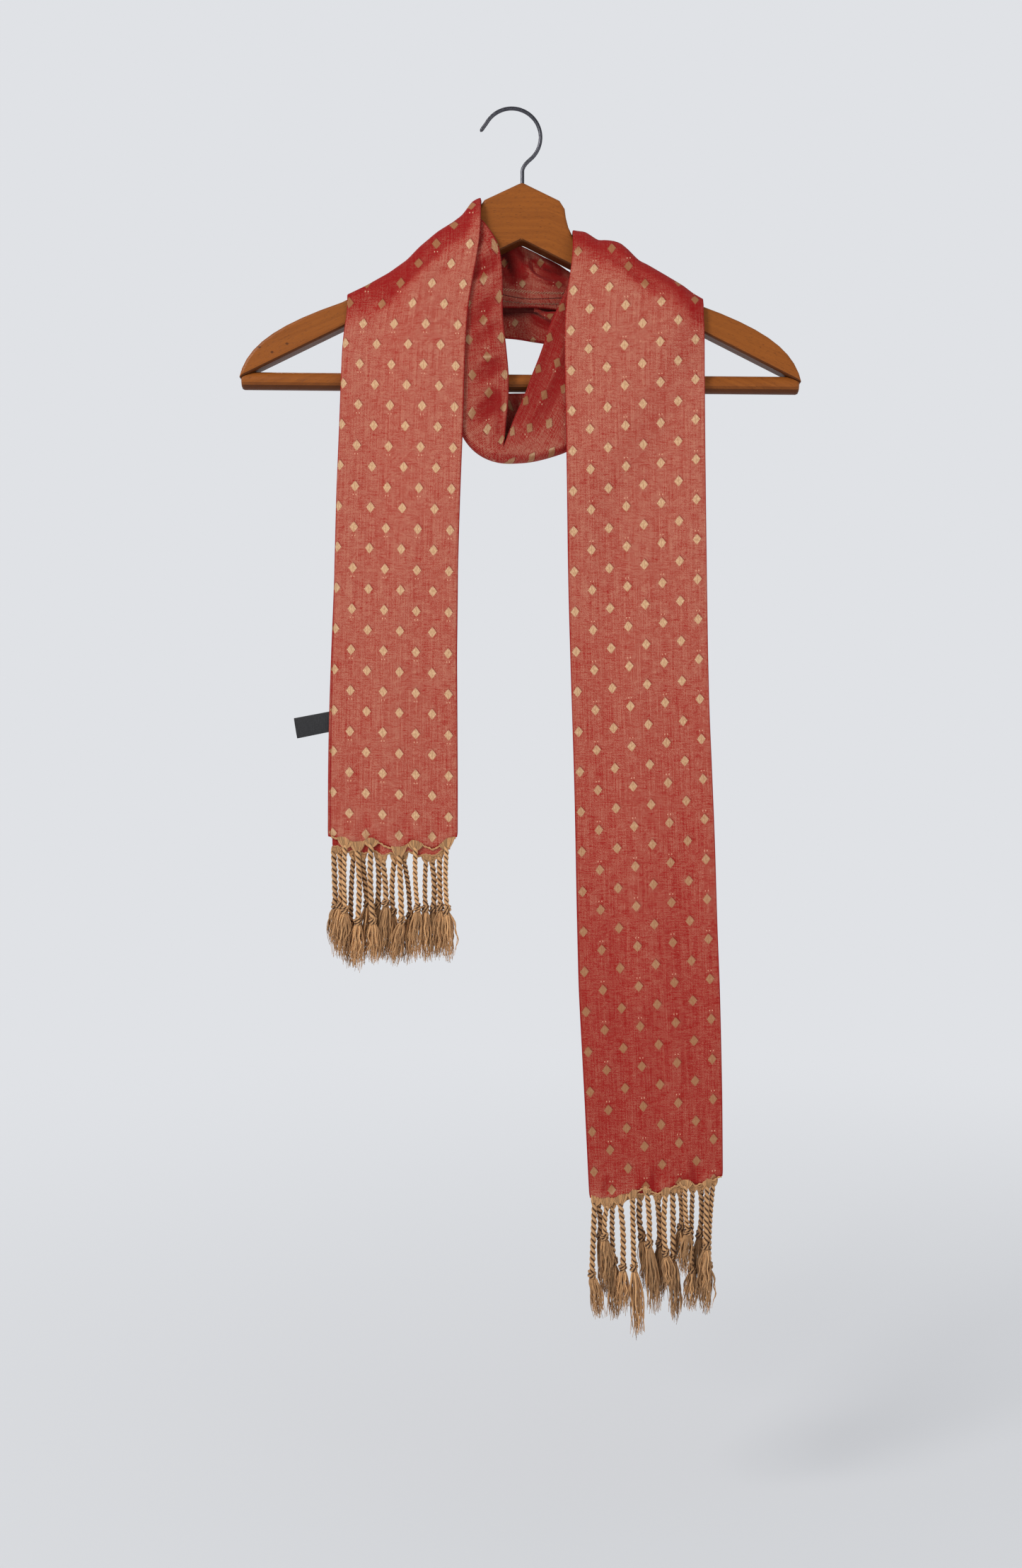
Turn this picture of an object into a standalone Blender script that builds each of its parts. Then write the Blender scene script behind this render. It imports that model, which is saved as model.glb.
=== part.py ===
"""Cotton scarf wound once round a wooden hanger, with two tails in front and a twisted fringe on its ends.

The scarf is folded lengthwise into a band. From the left hem it runs up over the left arm of the hanger,
behind the neck, over the right arm, down through the loop in front, up over the left arm again, behind the
neck once more and over the right arm down to the right hem.

X is to the right, Y goes back towards the wall and Z is up. The origin is the inner top of the hook, where
the hanger hangs. Sizes and places are in millimetres and are turned into metres where a mesh is made.
"""

import math

import bmesh
import bpy
import numpy as np
from mathutils import Euler, Matrix, Vector

MM = 0.001
GAP = 0.3  # clearance between pieces that touch
MERGE_DISTANCE = 0.1  # points of a mirrored half closer than this become one
SHARP_ANGLE = math.radians(50)  # faces that meet at more than this keep their edge

# Hanger
HANGER_TILT = 0.5  # degrees, right end lower
APEX = (10.0, -58.5)  # top of the head
ARM_DEPTH = 16.0
ARM_HALF = ARM_DEPTH / 2
ARM_EDGE_ROUND = 2.5
HEAD_CORNER = (29.5, -14.2)
HEAD_SIDE = ((33.6, -20.5), (34.6, -27.5), (36.6, -35.0), (41.5, -45.0))
ARM_SHOULDER = (140.0, -95.0)
ARM_TIP = (220.3, -155.2)
ARM_SHOULDER_LEAN = (54.0, -19.0)  # how the arm's upper line leaves the shoulder
ARM_TIP_LEAN = (-5.3, 24.5)  # how it comes down to the tip
ARM_POINTS = 10
NOTCH_Z = -45.6
BAR_Z = -156.0
BAR_RADIUS = 6.9
BAR_HALF_LENGTH = 218.5
BAR_END_ROUND = 2.0
BAR_SIDES = 20
MITRE_BLOCK = (100.0, 40.0, 40.0)  # what is cut off the bar where it meets an arm

# Hook
WIRE_RADIUS = 1.5
HOOK_RADIUS = 22.7
HOOK_CENTRE = (1.9, -21.1)
HOOK_TIP = (-22.7, -16.6)
HOOK_OPEN_ANGLE = 150  # degrees, where the arc ends and the straight tip starts
HOOK_LOW_ANGLE = -50
HOOK_POINTS = 19
STEM_X = 10.3
STEM_TOP_Z = -48.0
STEM_DEPTH = 12.0  # how far the stem goes into the head
BORE_EXTRA = 1.0  # how much deeper its bore is
BORE_LENGTH = 30.0
BORE_SIDES = 14

# Cloth
TAIL_THICK = 3.2
SHOULDER_THICK = 2.4  # the tail where it is drawn over an arm
LOOP_THICK = 3.0
LOOP_SHOULDER_THICK = 1.8
HANG_DEPTH = 13.0  # how far in front the tails hang
LOOP_FRONT_DEPTH = 13.3
OVER_LOOP_DEPTH = LOOP_FRONT_DEPTH + LOOP_THICK / 2 + GAP + TAIL_THICK / 2
LOOP_LAYER_STEP = LOOP_SHOULDER_THICK + 0.6
LOOP_INNER_HALF = ARM_HALF + GAP + LOOP_SHOULDER_THICK / 2
LOOP_OUTER_HALF = LOOP_INNER_HALF + LOOP_LAYER_STEP
TAIL_OUTER_HALF = LOOP_OUTER_HALF + LOOP_SHOULDER_THICK / 2 + GAP + SHOULDER_THICK / 2
TAIL_INNER_HALF = ARM_HALF + GAP + SHOULDER_THICK / 2
TAIL_BACK_DROP = 14.0  # how far a tail goes on down an arm's back
LOOP_BACK_DROP = 12.0
UNDER_SLOPE = 12.0  # over how much width a tail comes down beside the strand beneath it
OVER_LOOP_RUN = 20.0  # how far below the arm a tail reaches its depth before the loop
ON_ARM_Z = -170.0  # where a tail beside the strand leaves the arm
ON_ARM_DEPTH = HANG_DEPTH - 1.0
FREE_Z = -295.0  # below this a tail hangs free of the loop
SETTLE_RUN = 60.0  # over how much height it takes up its new depth
LEVEL_Z = -200.0  # above this a tail's sections slant as its shoulder does
REVEAL_Z = -350.0  # below this a rear layer shows beside the front one
REVEAL_RUN = 200.0
TAIL_END_GAP = 0.9  # upright, below the tails' ends
LOOP_END_GAP = 1.2  # upright, below the loop's ends

# Points across and sections along the cloth
TAIL_ACROSS = 11
SHOULDER_SHARES = (0.2, 0.4, 0.6, 0.8, 0.93)  # a tail's sections from that level up to the arm
LOOP_FRONT_ACROSS = 5
LOOP_REAR_ACROSS = 4
LOOP_ROWS = 26
WRAP_ACROSS = 11
WRAP_ROWS = 22
ARM_TURN = np.radians([0, 30, 60, 90])  # a quarter turn of cloth round an arm's edge
FOLD_TURN = np.radians([45, 90, 135])  # the half turn at the loop's outer edge
RIM = 0.35  # how far a cloth edge rounds out, in thicknesses
RIM_GROOVE = 0.05  # the groove between the layers at that edge, in thicknesses
EDGE_THIN = 0.8  # how much thinner the cloth is along its edges
FOLD_THIN = 0.8  # and where it is folded
EASE_POINTS = 200  # points on a line while its corners are eased
EASE_REACH = 6  # how many of them on each side count
SLOPE_STEP = 2.0  # how far to each side a shoulder's slope is measured

# Outer line of the shoulders: x, z
LEFT_CREST = (
    (-127.0, -147.2),
    (-111.6, -139.8),
    (-94.0, -129.8),
    (-79.7, -119.5),
    (-70.2, -109.6),
    (-55.9, -97.6),
    (-43.2, -89.7),
    (-36.4, -84.5),
    (-32.2, -78.6),
    (-28.8, -74.0),
    (-23.5, -71.5),
)
RIGHT_CREST = (
    (48.0, -96.5),
    (59.2, -98.0),
    (64.0, -101.0),
    (69.7, -104.6),
    (75.0, -104.4),
    (82.3, -105.3),
    (87.0, -107.0),
    (92.5, -111.6),
    (101.2, -120.6),
    (107.0, -123.2),
    (121.4, -131.4),
    (136.0, -140.0),
    (143.2, -145.6),
    (151.5, -150.6),
)

# Tails, from the shoulder down: z, left edge, right edge
LEFT_EDGES = (
    (-85, -125.5, -23.0),
    (-101, -126.0, -26.3),
    (-112, -126.3, -29.5),
    (-128, -126.8, -31.1),
    (-152, -127.5, -33.4),
    (-195, -129.5, -35.5),
    (-250, -131.4, -37.1),
    (-305, -133.7, -39.3),
    (-360, -135.0, -41.0),
    (-430, -136.7, -41.8),
    (-525, -138.0, -41.2),
    (-575, -138.3, -41.2),
)
RIGHT_EDGES = (
    (-96, 50.5, 150.5),
    (-109, 46.7, 150.8),
    (-123, 45.1, 151.0),
    (-136, 44.0, 151.0),
    (-199, 44.3, 151.2),
    (-262, 45.6, 151.6),
    (-360, 46.9, 152.7),
    (-415, 48.3, 153.5),
    (-470, 50.0, 154.6),
    (-525, 51.8, 156.9),
    (-580, 53.0, 159.2),
    (-635, 54.0, 160.9),
    (-690, 55.3, 163.1),
    (-772, 59.7, 164.8),
    (-840, 63.0, 165.3),
    (-855, 63.8, 165.3),
)

# Hems: share of the width from the left, z of the cloth's edge, z of the lower edge of the knotted strip
LEFT_HEM = (
    (0.00, -570.5, -580.5),
    (0.10, -573.0, -583.0),
    (0.21, -577.0, -585.0),
    (0.32, -572.4, -584.0),
    (0.44, -577.5, -586.5),
    (0.55, -581.0, -586.5),
    (0.65, -574.5, -585.5),
    (0.82, -579.8, -588.0),
    (1.00, -570.5, -582.0),
)
RIGHT_HEM = (
    (0.00, -851.0, -855.0),
    (0.11, -853.5, -857.5),
    (0.20, -852.0, -857.0),
    (0.29, -848.5, -853.5),
    (0.42, -842.6, -849.5),
    (0.50, -848.0, -852.5),
    (0.57, -845.5, -850.5),
    (0.73, -837.5, -844.0),
    (0.80, -841.0, -845.5),
    (0.88, -839.0, -843.5),
    (1.00, -834.0, -839.0),
)

# Where a strand of the loop ends beneath a tail: z, x
LEFT_UNDER = ((-124, -81.0), (-134, -75.0), (-142, -68.0), (-153, -62.0), (-285, -55.0))
RIGHT_UNDER = (
    (-130, 134.0),
    (-160, 128.0),
    (-190, 114.0),
    (-231, 95.0),
    (-255, 82.0),
    (-280, 66.0),
    (-300, 50.0),
)

# Loop, a row for each section from the left shoulder down, round the bottom and up to the right one:
# the inner edge, the way out from it and how far the outline lies, the way back up and how far, then depths
LOOP_COLUMNS = ("x", "z", "out_angle", "out", "back_angle", "back", "front_y", "rear_y", "thick")
LOOP = (
    (-21.0, -90.0, 223, 64.0, 43, 30.0, -12.2, -9.6, 2.2),
    (-12.5, -102.0, 217, 62.0, 37, 29.0, -13.0, -9.8, 2.6),
    (-7.2, -114.0, 210, 58.0, 30, 29.0, -13.3, -9.9, 3.0),
    (-5.2, -137.0, 198, 52.0, 18, 29.0, -13.3, -9.9, 3.0),
    (-5.0, -165.0, 187, 48.0, 7, 29.0, -13.3, -9.9, 3.0),
    (-2.4, -190.0, 182, 48.0, 2, 29.0, -13.3, -9.9, 3.0),
    (-0.5, -212.0, 180, 47.5, 0, 28.0, -13.3, -9.9, 3.0),
    (-0.9, -232.0, 187, 44.0, 28, 28.0, -13.3, -9.3, 3.0),
    (-2.3, -246.0, 198, 37.0, 58, 37.0, -13.3, -7.0, 3.0),
    (-3.2, -257.0, 206, 28.0, 70, 44.5, -13.3, -4.0, 3.0),
    (-4.3, -265.0, 228, 16.0, 84, 47.5, -13.3, -2.0, 3.0),
    (-5.1, -269.0, 262, 10.2, 86, 47.0, -13.3, -1.0, 3.0),
    (-3.0, -263.0, 294, 17.5, 88, 47.5, -13.3, -1.0, 3.0),
    (0.2, -254.5, 306, 29.0, 95, 47.5, -13.3, -1.5, 3.0),
    (5.0, -242.0, 312, 43.0, 103, 45.5, -13.3, -2.5, 3.0),
    (11.0, -229.0, 316, 55.0, 115, 42.0, -13.3, -4.5, 3.0),
    (17.0, -213.0, 320, 60.0, 130, 31.0, -13.3, -7.5, 3.0),
    (24.5, -194.0, 324, 63.0, 142, 22.0, -13.3, -9.9, 3.0),
    (32.5, -170.5, 327, 66.0, 147, 14.0, -13.3, -9.9, 3.0),
    (41.5, -151.0, 330, 69.0, 150, 11.0, -13.3, -9.9, 3.0),
    (50.0, -132.0, 332, 72.0, 152, 10.0, -13.0, -9.8, 2.6),
    (56.0, -118.0, 333, 74.0, 153, 10.0, -12.2, -9.6, 2.2),
)
LOOP_LEFT_RIDGE = (  # its line over the arm, from the inner edge
    (-27.0, -81.0),
    (-38.5, -94.0),
    (-50.0, -102.0),
    (-61.5, -110.0),
    (-73.0, -118.5),
)
LOOP_RIGHT_RIDGE = ((60.0, -104.3), (126.0, -138.5))
LOOP_LEFT_TUCK = 30.0  # width of the layer folded under
LOOP_RIGHT_TUCK = 10.0

# Wraps behind the neck, a row for each section from left to right:
# the upper edge, the lower edge, their depths and the thickness
WRAP_COLUMNS = ("top_x", "top_z", "low_x", "low_z", "top_y", "low_y", "thick")
UPPER_WRAP = (
    (-22.0, -104.0, -62.0, -141.0, 10.6, 10.6, 3.6),
    (-14.0, -105.0, -42.0, -148.0, 10.2, 10.2, 3.2),
    (-5.0, -102.6, -20.0, -150.5, 10.0, 10.0, 3.0),
    (6.0, -103.4, 2.0, -151.0, 10.0, 10.0, 3.0),
    (18.0, -108.6, 20.0, -151.0, 10.0, 10.0, 3.0),
    (30.0, -114.4, 38.0, -153.0, 11.3, 11.3, 3.0),
    (41.0, -119.4, 58.0, -160.0, 13.8, 13.8, 3.0),
    (47.0, -122.6, 84.0, -169.0, 14.4, 14.4, 3.0),
    (50.0, -123.5, 116.0, -175.0, 14.4, 13.6, 2.8),
)
LOWER_WRAP = (
    (-21.0, -102.0, -108.0, -172.0, 14.2, 9.8, 2.6),
    (-15.0, -112.0, -84.0, -175.0, 14.2, 11.0, 3.0),
    (-8.0, -118.0, -56.0, -175.0, 14.0, 14.0, 3.0),
    (0.0, -124.0, -26.0, -173.5, 13.8, 13.8, 3.0),
    (9.0, -134.0, 2.0, -174.5, 13.6, 13.6, 3.2),
    (18.0, -148.0, 20.0, -177.0, 13.8, 13.8, 3.8),
    (28.0, -156.0, 34.0, -179.0, 12.5, 12.5, 5.0),
    (39.0, -157.5, 46.0, -181.0, 9.5, 9.5, 6.5),
    (51.0, -160.0, 60.0, -180.0, 6.8, 6.8, 7.0),
    (60.0, -153.0, 79.0, -174.0, 7.8, 7.8, 6.0),
    (62.0, -138.0, 103.0, -166.0, 10.5, 10.5, 4.6),
)

# Fringe, a row for each twisted cord: x at the strip, x and z of its knot, x and z of its tuft's end, and
# its place from front (-1) to rear (1)
CORD_COLUMNS = ("root_x", "knot_x", "knot_z", "end_x", "end_z", "row")
LEFT_CORDS = (
    (-136.6, -135.6, -623.7, -137.5, -651.5, 1),
    (-132.2, -131.6, -623.2, -133.4, -659.5, 0),
    (-127.6, -127.3, -626.4, -129.5, -662.2, -1),
    (-121.3, -123.5, -640.2, -124.0, -668.8, 1),
    (-118.0, -117.5, -635.3, -118.0, -669.9, -1),
    (-114.2, -110.8, -622.0, -111.9, -665.0, 1),
    (-107.4, -105.9, -634.7, -104.6, -665.0, -1),
    (-102.3, -102.8, -623.7, -102.6, -663.3, 1),
    (-98.5, -96.0, -622.0, -97.6, -662.2, 0),
    (-89.4, -90.6, -629.2, -91.6, -666.6, 1),
    (-85.5, -83.6, -634.7, -87.6, -665.5, -1),
    (-82.2, -77.5, -631.4, -80.6, -665.5, 1),
    (-72.9, -71.2, -625.4, -73.7, -663.3, -1),
    (-64.8, -65.3, -625.9, -65.0, -665.0, 0),
    (-60.3, -59.2, -626.5, -58.6, -662.2, 1),
    (-54.2, -53.6, -625.4, -53.9, -661.1, 0),
    (-48.6, -48.2, -627.0, -46.8, -663.3, -1),
)
RIGHT_CORDS = (
    (66.4, 64.2, -909.2, 68.4, -940.3, -1),
    (69.0, 71.0, -881.0, 74.6, -926.6, 1),
    (76.0, 74.0, -880.0, 76.0, -918.0, -1),
    (80.4, 81.4, -901.0, 81.7, -943.0, 0),
    (86.3, 88.1, -903.8, 88.0, -935.7, -1),
    (95.9, 96.8, -903.8, 99.6, -955.8, -1),
    (101.8, 103.4, -881.9, 107.0, -920.0, 1),
    (107.2, 108.6, -885.5, 112.2, -937.5, -1),
    (115.5, 117.4, -887.4, 117.6, -929.3, 1),
    (121.4, 121.4, -892.8, 124.6, -920.2, -1),
    (127.3, 127.5, -897.4, 129.2, -943.9, 0),
    (132.8, 133.8, -874.6, 134.2, -901.0, 1),
    (136.9, 138.6, -876.0, 136.0, -908.0, -1),
    (142.8, 142.0, -906.5, 140.6, -935.7, 0),
    (149.2, 148.6, -880.1, 146.6, -931.0, 1),
    (154.0, 152.6, -888.0, 151.6, -922.0, -1),
    (158.8, 155.4, -904.7, 153.2, -937.5, 0),
)
CORD_ROOT = 1.5  # how far a cord starts above the strip's lower edge
CORD_RADIUS = 1.8
CORD_SIDES = 4
CORD_TWIST = 50  # degrees from one section of a cord to the next
CORD_SHARES = (0, 0.2, 0.45, 0.7, 0.9)  # its sections down to the knot
CORD_BOW = 0.8  # how far it hangs out of line
CORD_PHASE = 1.9  # radians, what sets one cord apart from the next
KNOT_RADIUS = 2.7
KNOT_END = ((2.5, 2.295), (4.0, 0.6))  # how far below its middle the knot narrows, and to what radius
LOCKS = 3
LOCK_SIDES = 3
LOCK_RADII = (0.75, 1.25, 0.625)
LOCK_SPREAD = 2.6
LOCK_FLAT = 0.8  # how much less a tuft spreads to the front and rear
LOCK_START = 1.25  # how far off a cord's middle its locks start inside the knot
LOCK_DROP = 1.0  # and how far below the knot's middle
LOCK_UNEVEN = 2.5  # how much shorter some locks are
ROOT_ROW_STEP = 0.5  # from one row of cords to the next at the strip
CORD_ROW_STEP = 4.4  # and at the knots
STRIP_THICK = 2.6

# Label, a bare folded ribbon behind the left edge of the left tail
LABEL_CORNERS = ((-131.0, -471.5), (-167.8, -478.5), (-165.4, -493.0), (-131.0, -486.0))
LABEL_THICK = 1.2

# Materials: name, linear colour, roughness and metal
CLOTH = ("cloth_red", (0.42, 0.075, 0.055), 0.8, 0.0)
FRINGE = ("fringe_beige", (0.50, 0.31, 0.14), 0.75, 0.0)
WOOD = ("wood_brown", (0.30, 0.12, 0.035), 0.45, 0.0)
STEEL = ("dark_steel", (0.16, 0.16, 0.17), 0.35, 1.0)
RIBBON = ("label_black", (0.015, 0.017, 0.022), 0.6, 0.0)

# The tails: their tables, where the loop's shoulder ends beneath them, which side faces out, their sections
# below the level, and how far a rear layer shows
LEFT_TAIL = {
    "name": "left",
    "crest": LEFT_CREST,
    "edges": LEFT_EDGES,
    "hem": LEFT_HEM,
    "under": LEFT_UNDER,
    "ridge_edge": LOOP_LEFT_RIDGE[-1][0] - UNDER_SLOPE / 2,
    "side": -1,
    "low_rows": 12,
    "reveal": 2.2,
}
RIGHT_TAIL = {
    "name": "right",
    "crest": RIGHT_CREST,
    "edges": RIGHT_EDGES,
    "hem": RIGHT_HEM,
    "under": RIGHT_UNDER,
    "ridge_edge": LOOP_RIGHT_RIDGE[-1][0] + UNDER_SLOPE / 2,
    "side": 1,
    "low_rows": 20,
    "reveal": 0.0,
}


def clear_scene():
    for thing in list(bpy.data.objects):
        bpy.data.objects.remove(thing, do_unlink=True)


def new_collection(name):
    collection = bpy.data.collections.new(name)
    bpy.context.scene.collection.children.link(collection)
    return collection


def new_material(name, colour, roughness, metallic):
    material = bpy.data.materials.new(name)
    material.use_nodes = True
    shader = material.node_tree.nodes["Principled BSDF"]
    shader.inputs["Base Color"].default_value = (*colour, 1.0)
    shader.inputs["Roughness"].default_value = roughness
    shader.inputs["Metallic"].default_value = metallic
    return material


def add_object(name, data, collection, material=None):
    thing = bpy.data.objects.new(name, data)
    collection.objects.link(thing)
    if material:
        data.materials.append(material)
    return thing


def make_cutter(thing, collection):
    """Moves an object among those that only shape others."""
    for holder in list(thing.users_collection):
        holder.objects.unlink(thing)
    collection.objects.link(thing)
    thing.hide_render = True
    thing.display_type = "WIRE"


def mesh_from(name, points, faces):
    """A mesh of points in millimetres, with its faces turned outwards."""
    body = bmesh.new()
    corners = [body.verts.new(Vector(p) * MM) for p in points]
    for face in faces:
        body.faces.new([corners[i] for i in face])
    bmesh.ops.recalc_face_normals(body, faces=body.faces)
    mesh = bpy.data.meshes.new(name)
    body.to_mesh(mesh)
    body.free()
    mesh.shade_smooth()
    mesh.set_sharp_from_angle(angle=SHARP_ANGLE)
    return mesh


def through(rows, count):
    """count rows along a smooth line through evenly spaced ones."""
    rows = np.asarray(rows, float)
    ends = np.concatenate([2 * rows[:1] - rows[1:2], rows, 2 * rows[-1:] - rows[-2:-1]])
    at = np.linspace(0, len(rows) - 1, count)
    i = np.minimum(at.astype(int), len(rows) - 2)
    t = (at - i).reshape(-1, *[1] * (rows.ndim - 1))
    a, b, c, d = ends[i], ends[i + 1], ends[i + 2], ends[i + 3]
    return b + (c - a) * t / 2 + (2 * a - 5 * b + 4 * c - d) * t**2 / 2 + (3 * b - a - 3 * c + d) * t**3 / 2


def smooth_line(table, at):
    """The second column of a table at some places of its first, without its corners."""
    x, z = np.array(sorted(table), float).T
    fine = np.linspace(x[0], x[-1], EASE_POINTS)
    line = np.interp(fine, x, z)
    kernel = np.hanning(2 * EASE_REACH + 3)[1:-1]
    before = 2 * line[0] - line[EASE_REACH:0:-1]
    after = 2 * line[-1] - line[-2 : -2 - EASE_REACH : -1]
    longer = np.concatenate([before, line, after])
    return np.interp(at, fine, np.convolve(longer, kernel / kernel.sum(), mode="valid"))


def smooth_step(x):
    x = np.clip(x, 0, 1)
    return x * x * (3 - 2 * x)


def heading(degrees):
    return np.array([math.cos(math.radians(degrees)), 0, math.sin(math.radians(degrees))])


def unit(vectors):
    return vectors / np.maximum(np.linalg.norm(vectors, axis=-1, keepdims=True), 1e-9)


def cloth_wall(name, grid, thick, collection, material, reveal=None, thin=1.0):
    """A closed wall of cloth on a grid of middle points (rows along it, columns across), with rounded edges
    that show the layers. reveal says how far the rear layer stands out at the first column, for each row,
    and thin is a share of the thickness for each column."""
    rows, across, _ = grid.shape
    thick = np.asarray(thick, float).reshape(-1, 1) * np.broadcast_to(thin, across)
    reveal = np.zeros(rows) if reveal is None else reveal
    normal = unit(np.cross(np.gradient(grid, axis=0), np.gradient(grid, axis=1)))
    edge = np.isin(np.arange(across), (0, across - 1))
    half = thick[..., None] / 2 * np.where(edge, EDGE_THIN, 1.0)[:, None]
    rear, front = grid + normal * half, grid - normal * half

    def rim(column, inner, extra):
        """The edge's three points in each row: the rear layer, the groove and the front layer."""
        t = thick[:, column, None]
        out, base, step = unit(grid[:, column] - grid[:, inner]), grid[:, column], normal[:, column] * t / 4
        return (
            base + out * (RIM * t + extra[:, None]) + step,
            base + out * (RIM_GROOVE * t + extra[:, None] / 2),
            base + out * RIM * t - step,
        )

    ring = [rear[:, j] for j in range(across)]
    ring += list(rim(across - 1, across - 2, np.zeros(rows)))
    ring += [front[:, j] for j in reversed(range(across))]
    ring += list(reversed(rim(0, 1, reveal)))
    size = len(ring)
    faces = [
        (i * size + j, i * size + (j + 1) % size, (i + 1) * size + (j + 1) % size, (i + 1) * size + j)
        for i in range(rows - 1)
        for j in range(size)
    ]
    far, near = across - 1, 2 * across + 2
    for start in (0, (rows - 1) * size):
        cap = [(j, j + 1, near - 1 - j, near - j) for j in range(far)]
        for a, b, c, d, e in (range(far, far + 5), (near, near + 1, near + 2, near + 3, 0)):
            cap += [(a, b, c), (a, c, e), (c, d, e)]
        faces += [[start + corner for corner in face] for face in cap]
    points = np.stack(ring, axis=1).reshape(-1, 3)
    return add_object(name, mesh_from(name, points, faces), collection, material)


def over_arm(x, crest, half, back_drop):
    """Rows of middle points over an arm, from its front to its back: a turn round each of its two edges."""
    corner = half - (ARM_HALF - ARM_EDGE_ROUND)
    turn = [(half - corner * (1 - math.cos(a)), crest - corner * (1 - math.sin(a))) for a in ARM_TURN]
    rows = [(-y, z) for y, z in turn] + turn[::-1]
    rows += [(half, crest - corner - back_drop * share) for share in (0.5, 1.0)]
    return np.array([np.stack([x, y + 0 * x, z + 0 * x], axis=1) for y, z in rows])


def slant(table, x):
    """How much longer an upright line through a sloping layer is than the layer is thick."""
    rise = smooth_line(table, x + SLOPE_STEP) - smooth_line(table, x - SLOPE_STEP)
    return np.sqrt(1 + (rise / (2 * SLOPE_STEP)) ** 2)


def tail_crest(table, x):
    """The tail's middle line where it turns over the arm."""
    return smooth_line(table, x) - SHOULDER_THICK / 2 * slant(table, x)


def loop_crest(ridge, x, layer):
    """The middle line of the loop's outer (0) or inner (1) layer where it turns over the arm."""
    line_x, line_z = np.array(sorted(ridge), float).T
    return np.interp(x, line_x, line_z) - layer * LOOP_LAYER_STEP * math.hypot(1, ridge_slope(ridge))


def ridge_slope(ridge):
    (x0, z0), (x1, z1) = ridge[-2:]
    return (z1 - z0) / (x1 - x0)


def tail_half(x, edge, side):
    """Half the depth of a tail's turn over the arm, which is more where the loop's strand lies beneath."""
    beside = smooth_step(side * (x - edge) / UNDER_SLOPE)
    return TAIL_OUTER_HALF + (TAIL_INNER_HALF - TAIL_OUTER_HALF) * beside


def tail_depth(x, z, start_z, under, side):
    """How far in front a tail hangs: before the loop's strand, then on the arm beside it, then free."""
    strand_z, strand_x = np.array(sorted(under), float).T
    beside = smooth_step(side * (x - np.interp(z, strand_z, strand_x)) / UNDER_SLOPE)
    below_arm = smooth_step((start_z - z) / OVER_LOOP_RUN)
    before = TAIL_OUTER_HALF + (OVER_LOOP_DEPTH - TAIL_OUTER_HALF) * below_arm
    off_arm = smooth_step((ON_ARM_Z - z) / SETTLE_RUN)
    on_arm = TAIL_INNER_HALF + (ON_ARM_DEPTH - TAIL_INNER_HALF) * off_arm
    upper = before + (on_arm - before) * beside
    return upper + (HANG_DEPTH - upper) * smooth_step((FREE_Z - z) / SETTLE_RUN)


def tail_grid(tail):
    """Middle points of a tail, from its hem up over the arm to its back, and the thickness of each row."""
    share = np.linspace(0, 1, TAIL_ACROSS)
    edges = np.array(sorted(tail["edges"]), float)

    def at(z):
        left, right = np.interp(z, edges[:, 0], edges[:, 1]), np.interp(z, edges[:, 0], edges[:, 2])
        return left + (right - left) * share

    hem = np.interp(share, [row[0] for row in tail["hem"]], [row[1] for row in tail["hem"]])
    top_x = at(edges[-1, 0])
    crest = tail_crest(tail["crest"], top_x)
    arch = over_arm(top_x, crest, tail_half(top_x, tail["ridge_edge"], tail["side"]), TAIL_BACK_DROP)
    start = arch[0, :, 2]
    levels = [hem + (LEVEL_Z - hem) * s for s in np.linspace(0, 1, tail["low_rows"])]
    levels += [LEVEL_Z + (start - LEVEL_Z) * s for s in SHOULDER_SHARES]
    front = []
    for z in levels:
        rise = smooth_step((z - LEVEL_Z) / (start - LEVEL_Z)) ** 2
        x = at(z) + (top_x - at(z)) * rise
        front.append(np.stack([x, -tail_depth(x, z, start, tail["under"], tail["side"]), z], axis=1))
    thick = np.full(len(levels) + len(arch), TAIL_THICK)
    thick[0] = SHOULDER_THICK
    thick[len(levels) - 3 :] = SHOULDER_THICK
    return np.concatenate([front, arch]), thick


def fold(front, rear):
    """A section of the loop: its front layer, the turn at its outer edge and the layer behind."""
    middle, reach = (front[-1] + rear[0]) / 2, (front[-1] - rear[0]) / 2
    out = unit(front[-1] - front[-2]) * np.linalg.norm(reach)
    turn = [middle + reach * math.cos(a) + out * math.sin(a) for a in FOLD_TURN]
    return np.concatenate([front, turn, rear])


def loop_sections():
    """Middle points of the loop's hanging sections and their thickness."""
    table = through(LOOP, LOOP_ROWS)
    sections = []
    for row in table:
        s = dict(zip(LOOP_COLUMNS, row, strict=True))
        turn = (s["rear_y"] - s["front_y"]) / 2
        out, back = heading(s["out_angle"]), heading(s["back_angle"])
        start = np.array([s["x"], s["front_y"], s["z"]]) + out * RIM * s["thick"]
        width = s["out"] - turn - s["thick"] * (0.5 + RIM)
        front = start + out * width * np.linspace(0, 1, LOOP_FRONT_ACROSS)[:, None]
        way_back = back * s["back"] * np.linspace(0, 1, LOOP_REAR_ACROSS)[:, None]
        rear = front[-1] + [0, 2 * turn, 0] + way_back
        sections.append(fold(front, rear))
    return np.array(sections), table[:, -1]


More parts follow.
